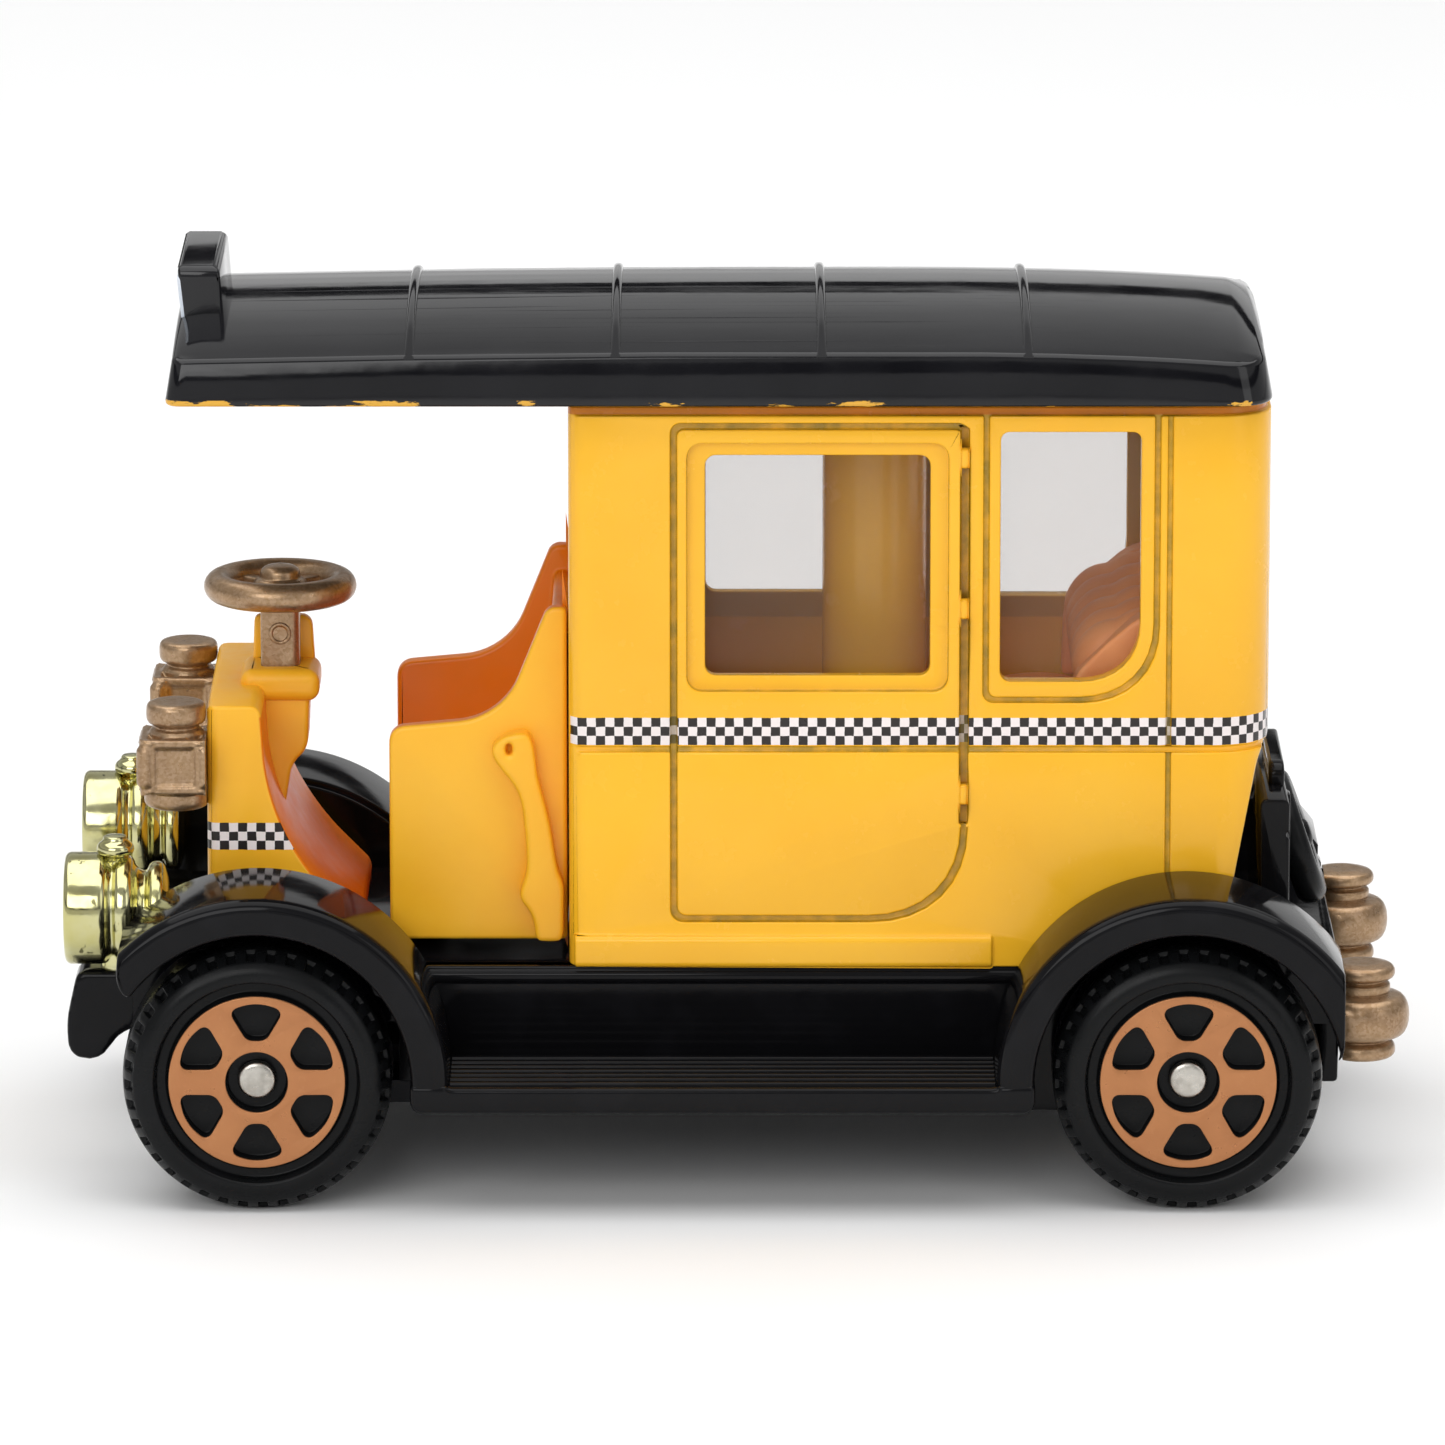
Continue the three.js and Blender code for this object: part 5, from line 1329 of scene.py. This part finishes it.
# %% Running boards, legs and sills
BOARD_LOW = DECK_TOP - 5.23
BOARD_TOP = BOARD_LOW + 1.2
BOARD_FRONT = FRONT_AXLE_X + LIP_RADIUS
BOARD_REAR = REAR_AXLE_X - LIP_RADIUS
BOARD_RIBS = 7
LEG = 1.7
board_side = rounded([
    (BOARD_FRONT, BOARD_LOW, 0.6), (BOARD_REAR, BOARD_LOW, 0.6), (BOARD_REAR, AXLE_Z + 0.1),
    (BOARD_REAR - LEG, AXLE_Z + 0.1), (BOARD_REAR - LEG, BOARD_TOP, 0.3),
    (BOARD_FRONT + LEG, BOARD_TOP, 0.3), (BOARD_FRONT + LEG, AXLE_Z + 0.1), (BOARD_FRONT, AXLE_Z + 0.1),
], 6)
board = plate("running_board_right", board_side, (SILL_OUTER - 0.2, CAR_HALF), "across")
soften(board, 0.24, 4, 50)
ribs = [board]
for i in range(BOARD_RIBS):
    y = SILL_OUTER + 0.75 + i * (CAR_HALF - SILL_OUTER - 1.4) / (BOARD_RIBS - 1)
    rib = box_outline((y - 0.2, y + 0.2), (BOARD_TOP - 0.2, BOARD_TOP + 0.16), (0, 0, 0.15, 0.15))
    ribs.append(plate("rib", rounded(rib, 4), (BOARD_FRONT + 1.75, BOARD_REAR - 1.75), "along"))
board = smooth(gather("running_board_right", ribs), 45)
for copy in (twin(board, "running_board_left", mirror=True), board):
    install(smooth(copy, 45), gloss_moulding, "gloss_black", "chassis")

sill = block("sill_right", (BOARD_FRONT - 0.6, BOARD_REAR + 0.6), (SILL_OUTER - 0.8, SILL_OUTER),
             (BOARD_LOW, DECK_TOP))
rail = rounded(box_outline((SILL_OUTER - 0.3, SILL_OUTER + 0.14), (DECK_TOP - 0.75, DECK_TOP - 0.2),
                           (0.1, 0.25, 0.25, 0.1)), 5)
weld_on(sill, plate("rail", rail, (BOARD_FRONT - 0.5, BOARD_REAR + 0.5), "along"))
soften(sill, 0.08, 3)
for copy in (twin(sill, "sill_left", mirror=True), sill):
    install(smooth(copy, 45), gloss_moulding, "gloss_black", "chassis")

# %% [markdown]
# The deck ties the fenders together. It has a bay for the drive, a slot for the big gear, and a hole for
# the cab's post. In front it turns down in a nose and carries two boot-shaped horns for the headlamps.

# %% Deck, nose, apron and horns
DECK_FRONT = LAMP_FRONT + 4.8
HORN_TOP = DECK_TOP - 0.35
motor_low, motor_high = measured("motor_plate_right")
gear_low, gear_high = measured("axle_gear")
deck_plan = box_outline((DECK_FRONT, DECK_REAR), (-SILL_OUTER + 0.1, SILL_OUTER - 0.1), (0.8,) * 4)
deck = plate("deck", rounded(deck_plan, 5), (DECK_TOP - 0.8, DECK_TOP), "up")
nose_foot = chassis_low.z + 0.5
nose_side = rounded([(DECK_FRONT - 0.6, nose_foot, 0.3), (DECK_FRONT + 0.3, nose_foot, 0.2),
                     (DECK_FRONT + 0.3, HORN_TOP), (DECK_FRONT - 0.8, HORN_TOP, 0.3)], 4)
weld_on(deck, plate("nose", nose_side, (-SILL_OUTER, SILL_OUTER), "across"))
apron_foot = chassis_low.z + 0.05
apron_side = rounded([(DECK_REAR - 0.9, apron_foot, 0.2), (DECK_REAR - 0.1, apron_foot, 0.2),
                      (DECK_REAR, DECK_TOP, 0.25), (DECK_REAR - 0.9, DECK_TOP)], 4)
weld_on(deck, plate("apron", apron_side, (-SILL_OUTER, SILL_OUTER), "across"))
carve(deck,
      block("bay", (motor_low.x - 0.1, motor_high.x + 0.1), (motor_low.y - 11.5, motor_high.y + 0.3),
            (DECK_TOP - 2, DECK_TOP + 1)),
      block("gear_slot", (REAR_AXLE_X, gear_high.x + 0.3), (gear_low.y - 0.3, gear_high.y + 0.3),
            (DECK_TOP - 2, DECK_TOP + 1)),
      turned("post_hole", [(0, 0), (2.4, 0), (2.4, 20), (0, 20)], (POST_X, 0, 0), "up", 40))
soften(deck, 0.12, 3)
install(deck, gloss_moulding, "gloss_black", "chassis", "fender_frame")

horn_side = rounded([
    (DECK_FRONT + 0.4, HORN_TOP), (LAMP_FRONT + 0.55, HORN_TOP + 0.02, 0.4),
    (LAMP_FRONT + 0.05, DECK_TOP - 2.6, 0.6), (LAMP_FRONT + 0.15, DECK_TOP - 4.25, 0.7),
    (LAMP_FRONT + 1.5, DECK_TOP - 4.35, 0.5),
    (LAMP_FRONT + 2.6, DECK_TOP - 2.9, 0.7), (DECK_FRONT + 0.4, DECK_TOP - 2.8),
], 8)
horn_y = (HEADLAMP_Y - 1.15, HEADLAMP_Y + 1.15)
horn = melted(plate("lamp_horn_right", horn_side, horn_y, "across"), 0.13, 8)
for copy in (twin(horn, "lamp_horn_left", mirror=True), horn):
    install(smooth(copy, 45), gloss_moulding, "gloss_black", "chassis")

# %% [markdown]
# At the back a trunk box with a lid line and two straps stands against the leaning cab, with a rack
# loop above it, and the spare wheel leans on its upper edge. The spare is turned, then tilted.

# %% Rear deck: trunk box, rack loop and spare wheel
trunk_low, trunk_high = measured("trunk_box")
loop_low, loop_high = measured("rack_loop")
spare_low, spare_high = measured("spare_wheel")
trunk_side = rounded([(trunk_low.x + 1.3, trunk_low.z), (trunk_high.x, trunk_low.z, 0.1),
                      (trunk_high.x, trunk_high.z, 0.35), (trunk_high.x - 1.3, trunk_high.z, 0.35)], 5)
trunk = plate("trunk_box", trunk_side, (trunk_low.y, trunk_high.y), "across")
carve(trunk, cab_solid(-0.1))
lid_line = block("lid_line", (trunk_high.x - 0.12, trunk_high.x + 1), (trunk_low.y - 1, trunk_high.y + 1),
                 (trunk_high.z - 1.75, trunk_high.z - 1.5))
carve(trunk, lid_line)
for y in (-4.0, 4.0):
    strap = block("strap", (trunk_high.x - 0.6, trunk_high.x + 0.14), (y - 0.45, y + 0.45),
                  (trunk_low.z + 0.4, trunk_high.z - 0.3))
    weld_on(trunk, strap)
soften(trunk, 0.08, 3)
install(trunk, gloss_moulding, "gloss_black", "chassis", "trunk_box")

loop_half = loop_high.y - 1.2
loop_top = loop_high.z - 0.95
loop_outline = box_outline((-loop_half, loop_half), (loop_low.z - 0.2, loop_top), (0, 0, 0.9, 0.9))
loop_hole = box_outline((0.55 - loop_half, loop_half - 0.55), (loop_low.z + 0.2, loop_top - 0.5),
                        (0.2, 0.2, 0.5, 0.5))
loop = plate("rack_loop", rounded(loop_outline, 8), (loop_low.x, loop_high.x), "along")
carve(loop, plate("loop_hole", rounded(loop_hole, 8), (loop_low.x - 1, loop_high.x + 1), "along"))
soften(loop, 0.16, 4)
install(loop, gloss_moulding, "gloss_black", "chassis", "rack_loop")

SPARE_RADIUS = (spare_high.y - spare_low.y) / 2
spare_profile = rounded([
    (0, -0.4), (1.2, -0.4), (1.55, -0.65, 0.2), (SPARE_RADIUS - 0.3, -0.7, 0.4), (SPARE_RADIUS, 0, 0.5),
    (SPARE_RADIUS - 0.3, 0.7, 0.4), (1.6, 0.62, 0.2), (1.45, 0.3, 0.15), (0.8, 0.2, 0.1), (0.72, 0.5, 0.1),
    (0.5, 0.8, 0.2), (0, 0.85),
], 6)
spare = turned("spare_wheel", spare_profile, (0, 0, 0), "along", 96)
DIMPLES = 6
for i in range(DIMPLES):
    angle = math.tau * i / DIMPLES
    dimple = turned("dimple", rounded([(0, 0), (0.34, 0), (0.34, 0.6, 0.1), (0, 0.6)], 4),
                    (0.05, 1.12 * math.sin(angle), 1.12 * math.cos(angle)), "along", 20)
    carve(spare, dimple)
LEAN = math.radians(19)
spare.matrix_world = Matrix.Rotation(-LEAN, 4, "Y")
settle(spare)
spare_x = (spare_low.x + spare_high.x) / 2 - 0.75
spare_z = (spare_low.z + spare_high.z) / 2 + 0.3
spare.location = Vector((spare_x, 0, spare_z)) * MM
settle(spare)
soften(spare, 0.05, 2, 50)
install(spare, tyre_moulding, "gloss_black", "chassis", "spare_wheel")

# %% [markdown]
# A wheel is one black moulding: tyre, groove, and a web with six rounded pockets. The web's face is
# hot-stamped with copper foil, which leaves the pockets black, so the foil is a thin piece of its own.
# The tyre's shoulders carry small notches: faces picked by their angle, inset and pushed in.

# %% Wheel shapes
WHEEL_FACE = measured("front_wheel_right")[1].y
WHEEL_BACK = measured("front_wheel_right")[0].y
TYRE_RADIUS = AXLE_Z
WEB_FACE = WHEEL_FACE - 0.28
SPIN_STEPS = 160
NOTCHES = 40
POCKETS = 6


def pocket_cutter(index):
    """One rounded triangular pocket, turned to its place round the hub."""
    shape = rounded([(-0.42, 1.86, 0.3), (0.42, 1.86, 0.3), (1.22, 3.22, 0.45), (0, 3.62, 0.8),
                     (-1.22, 3.22, 0.45)], 6)
    turn = Matrix.Rotation(math.tau * index / POCKETS, 2)
    points = [turn @ point for point in shape]
    return plate("pocket", points, (WEB_FACE - 0.8, WEB_FACE + 1), "across")


def notch_shoulder(piece, lowest, highest):
    """Pushes in the faces on the first half of each notch step round a shoulder."""
    pick(piece)
    bpy.ops.object.mode_set(mode="EDIT")
    bpy.ops.mesh.select_mode(type="FACE")
    bpy.ops.mesh.select_all(action="DESELECT")
    bpy.ops.object.mode_set(mode="OBJECT")
    for polygon in piece.data.polygons:
        x, y, z = polygon.center / MM
        radius = math.hypot(x, z)
        turn = (math.atan2(z, x) / math.tau * NOTCHES) % 1.0
        polygon.select = 5.42 < radius < 5.875 and lowest < y < highest and turn < 0.5
    bpy.ops.object.mode_set(mode="EDIT")
    bpy.ops.mesh.inset(thickness=0.06 * MM, depth=-0.2 * MM, use_individual=False)
    bpy.ops.object.mode_set(mode="OBJECT")


def wheel_body():
    face, back = WHEEL_FACE, WHEEL_BACK
    profile = rounded([
        (0.66, back + 0.15), (4.9, back, 0.3), (5.4, back + 0.15, 0.15), (TYRE_RADIUS, back + 0.75, 0.35),
        (TYRE_RADIUS, face - 0.95, 0.35), (5.42, face - 0.28, 0.15), (4.95, face, 0.3),
        (4.5, face - 0.03, 0.12), (4.4, face - 0.7, 0.1), (3.95, face - 0.72, 0.1),
        (3.86, WEB_FACE - 0.05, 0.05), (1.36, WEB_FACE - 0.05, 0.05), (1.3, face - 1.0, 0.1),
        (0.66, face - 1.0),
    ], 5)
    body = turned("wheel", profile, (0, 0, 0), "across", SPIN_STEPS)
    notch_shoulder(body, face - 0.9, face - 0.25)
    notch_shoulder(body, back + 0.1, back + 0.75)
    carve(body, *[pocket_cutter(i) for i in range(POCKETS)])
    return soften(body, 0.05, 2, 40)


def wheel_foil():
    profile = rounded([(1.36, WEB_FACE - 0.07), (3.85, WEB_FACE - 0.07), (3.85, WEB_FACE + 0.07, 0.05),
                       (1.36, WEB_FACE + 0.07, 0.05)], 3)
    foil_disc = turned("foil", profile, (0, 0, 0), "across", SPIN_STEPS)
    carve(foil_disc, *[pocket_cutter(i) for i in range(POCKETS)])
    return soften(foil_disc, 0.035, 2, 50)


wheel_master = wheel_body()
foil_master = wheel_foil()
print("wheel faces:", len(wheel_master.data.polygons))

# %% [markdown]
# The four wheels are copies of the two masters, moved to their axles, with the left ones mirrored. Each
# rides on its own turning body, so that it spins with the joint.

# %% Four wheels
WHEELS = (("front", "left", -1, FRONT_AXLE_X, "front_wheel_left"),
          ("front", "right", 1, FRONT_AXLE_X, "front_wheel_right"),
          ("rear", "left", -1, REAR_AXLE_X, "rear_axle"),
          ("rear", "right", 1, REAR_AXLE_X, "rear_axle"))
for end, word, side, x, body in WHEELS:
    spot = (x, 0, AXLE_Z)
    made = twin(wheel_master, f"{end}_tyre_{word}", spot, mirror=side < 0)
    install(smooth(made, 40), tyre_moulding, "wheel_black", body, f"{end}_wheel_{word}")
    made = twin(foil_master, f"{end}_wheel_foil_{word}", spot, mirror=side < 0)
    install(smooth(made, 40), copper_foil, "wheel_copper", body)
bpy.data.objects.remove(wheel_master)
bpy.data.objects.remove(foil_master)

# %% [markdown]
# The axles are drawn steel with domed heads that hold the wheels on, slightly flattened by the tool.

# %% Axles


def axle(name, x, body):
    seat, end = WHEEL_FACE - 0.95, WHEEL_FACE - 0.48
    half = [(0.6, seat), (0.84, seat, 0.05), (0.84, seat + 0.3, 0.1), (0.7, end - 0.05, 0.15), (0, end)]
    mirror = [(r, -h, *rest) for r, h, *rest in reversed(half)]
    shaft = turned(name, rounded(mirror + half, 5), (x, 0, AXLE_Z), "across", 40)
    return install(smooth(shaft, 50), axle_steel, "axle_steel", body, name)


axle("front_axle", FRONT_AXLE_X, "chassis")
axle("rear_axle", REAR_AXLE_X, "rear_axle")

# %% [markdown]
# The drive and the underside are hidden or nearly so. Their frame solids are exact already, with
# involute teeth, so they stay as they are and only get their metals and plastics.

# %% Finishes of the nodes that stay
for node in ("motor_plate_left", "motor_plate_right", "motor_pillar_rear", "motor_pillar_front", "flywheel"):
    dress(node, motor_steel)
for node in ("idler_shaft", "flywheel_shaft"):
    dress(node, axle_steel)
for node in ("axle_gear", "idler_gear"):
    dress(node, gear_nylon)
for node in ("front_rivet", "rear_rivet"):
    dress(node, bare_zinc)
dress("base_plate", base_moulding)

# %% [markdown]
# Through the quarter window the back of the passenger bench shows: a tufted back that rises in
# scallops, over a plain seat. Each tuft is a flattened ball pushed into its neighbours. They are joined
# with the seat and a voxel remesh melts them into one skin. A union would need every touching pair of
# balls to cut cleanly, and that is not sure.

# %% Passenger bench
seat_low, seat_high = measured("rear_seat")
SEAT_TOP = DECK_TOP + 9.6
BACK_ROWS = 3
BACK_TUFTS = 6
SEAT_TUFTS = 5
bench_side = rounded([
    (seat_low.x, SEAT_TOP - 4.5, 0.6), (seat_high.x, SEAT_TOP - 4.5), (seat_high.x, seat_high.z - 1.7, 0.8),
    (seat_high.x - 1.0, seat_high.z - 1.6, 0.9), (seat_high.x - 3.6, SEAT_TOP + 3.0, 1.5),
    (seat_high.x - 4.2, SEAT_TOP - 0.3, 0.8), (seat_low.x, SEAT_TOP - 0.2, 1.1),
], 8)
bench = plate("passenger_bench", bench_side, (seat_low.y + 0.1, seat_high.y - 0.1), "across")


def tuft(x, y, z, long, wide, tall, lean):
    deselect()
    bpy.ops.mesh.primitive_uv_sphere_add(segments=20, ring_count=12, radius=MM)
    ball = named("tuft")
    ball.scale = (long, wide, tall)
    ball.rotation_euler.y = lean
    ball.location = Vector((x, y, z)) * MM
    return settle(ball)


padding = [bench]
for row in range(BACK_ROWS):
    for column in range(BACK_TUFTS):
        y = seat_low.y + 1.35 + column * (seat_high.y - seat_low.y - 2.7) / (BACK_TUFTS - 1)
        x = seat_high.x - 4.2 + row * 1.3
        z = seat_high.z - 3.9 + row * 0.5
        padding.append(tuft(x, y, z, 1.25, 1.35, 1.7, math.radians(38)))
for column in range(SEAT_TUFTS):
    y = seat_low.y + 1.6 + column * (seat_high.y - seat_low.y - 3.2) / (SEAT_TUFTS - 1)
    padding.append(tuft(seat_low.x + 2.4, y, SEAT_TOP - 0.35, 2.3, 1.5, 0.55, 0.0))
bench = melted(gather("passenger_bench", padding), 0.16, 4)
install(bench, seat_moulding, "yellow_plastic", "chassis", "rear_seat")

# %% [markdown]
# A curled arm rises at each end of the bench. It is a leaf-shaped outline, melted until it is soft.

# %% Bench arms
arm_side = rounded([
    (seat_high.x - 5.7, SEAT_TOP), (seat_high.x - 5.6, SEAT_TOP + 3.0, 0.5),
    (seat_high.x - 4.3, SEAT_TOP + 4.4, 0.9), (seat_high.x - 2.6, SEAT_TOP + 5.8, 0.6),
    (seat_high.x - 1.2, SEAT_TOP + 6.0, 0.4), (seat_high.x - 1.2, SEAT_TOP),
], 6)
arm = melted(plate("bench_arm_right", arm_side, (seat_high.y - 1.0, seat_high.y + 0.5), "across"), 0.14, 6)
for copy in (twin(arm, "bench_arm_left", mirror=True), arm):
    install(copy, seat_moulding, "yellow_plastic", "chassis")

# %% [markdown]
# The car stands on a plain pale floor under a large soft ceiling light, with a broad fill from the
# front left. A low band of the surroundings is darker, which draws the thin dark line along the roof.

# %% Floor, lights and surroundings
deselect()
bpy.ops.mesh.primitive_plane_add(size=6.0)
floor = named("studio_floor")
paper = Finish("studio_paper", srgb(246, 246, 246), 0.85, specular=0.15)
paper.drift(srgb(243, 243, 243), 400.0)
floor.data.materials.append(paper.done())


def softbox(name, place, target, size, energy):
    light = bpy.data.lights.new(name, "AREA")
    light.shape = "RECTANGLE"
    light.size, light.size_y = size
    light.energy = energy
    lamp = bpy.data.objects.new(name, light)
    bpy.context.scene.collection.objects.link(lamp)
    lamp.location = place
    lamp.rotation_euler = (Vector(target) - Vector(place)).to_track_quat("-Z", "Y").to_euler()
    return lamp


softbox("ceiling_softbox", (0.0, 0.02, 0.6), (0, 0, 0), (0.9, 0.8), 4.0)
softbox("front_softbox", (-0.3, -0.75, 0.42), (0, 0, 0.02), (0.6, 0.4), 2.3)
softbox("side_softbox", (0.55, -0.5, 0.3), (0, 0, 0.02), (0.3, 0.5), 0.5)

world = bpy.data.worlds.new("studio")
bpy.context.scene.world = world
world.use_nodes = True
background = world.node_tree.nodes["Background"]
background.inputs["Strength"].default_value = 0.62
direction = world.node_tree.nodes.new("ShaderNodeTexCoord")
split = world.node_tree.nodes.new("ShaderNodeSeparateXYZ")
ramp = world.node_tree.nodes.new("ShaderNodeValToRGB")
world.node_tree.links.new(direction.outputs["Generated"], split.inputs[0])
world.node_tree.links.new(split.outputs["Z"], ramp.inputs["Fac"])
world.node_tree.links.new(ramp.outputs["Color"], background.inputs["Color"])
bands = [(0.0, 0.95), (0.169, 0.95), (0.174, 0.01), (0.268, 0.01), (0.273, 0.95), (0.65, 0.6), (1.0, 0.9)]
elements = ramp.color_ramp.elements
while len(elements) < len(bands):
    elements.new(0.5)
for element, (position, grey) in zip(elements, bands):
    element.position = position
    element.color = (grey, grey, grey, 1.0)
bpy.context.scene.view_settings.view_transform = "Standard"
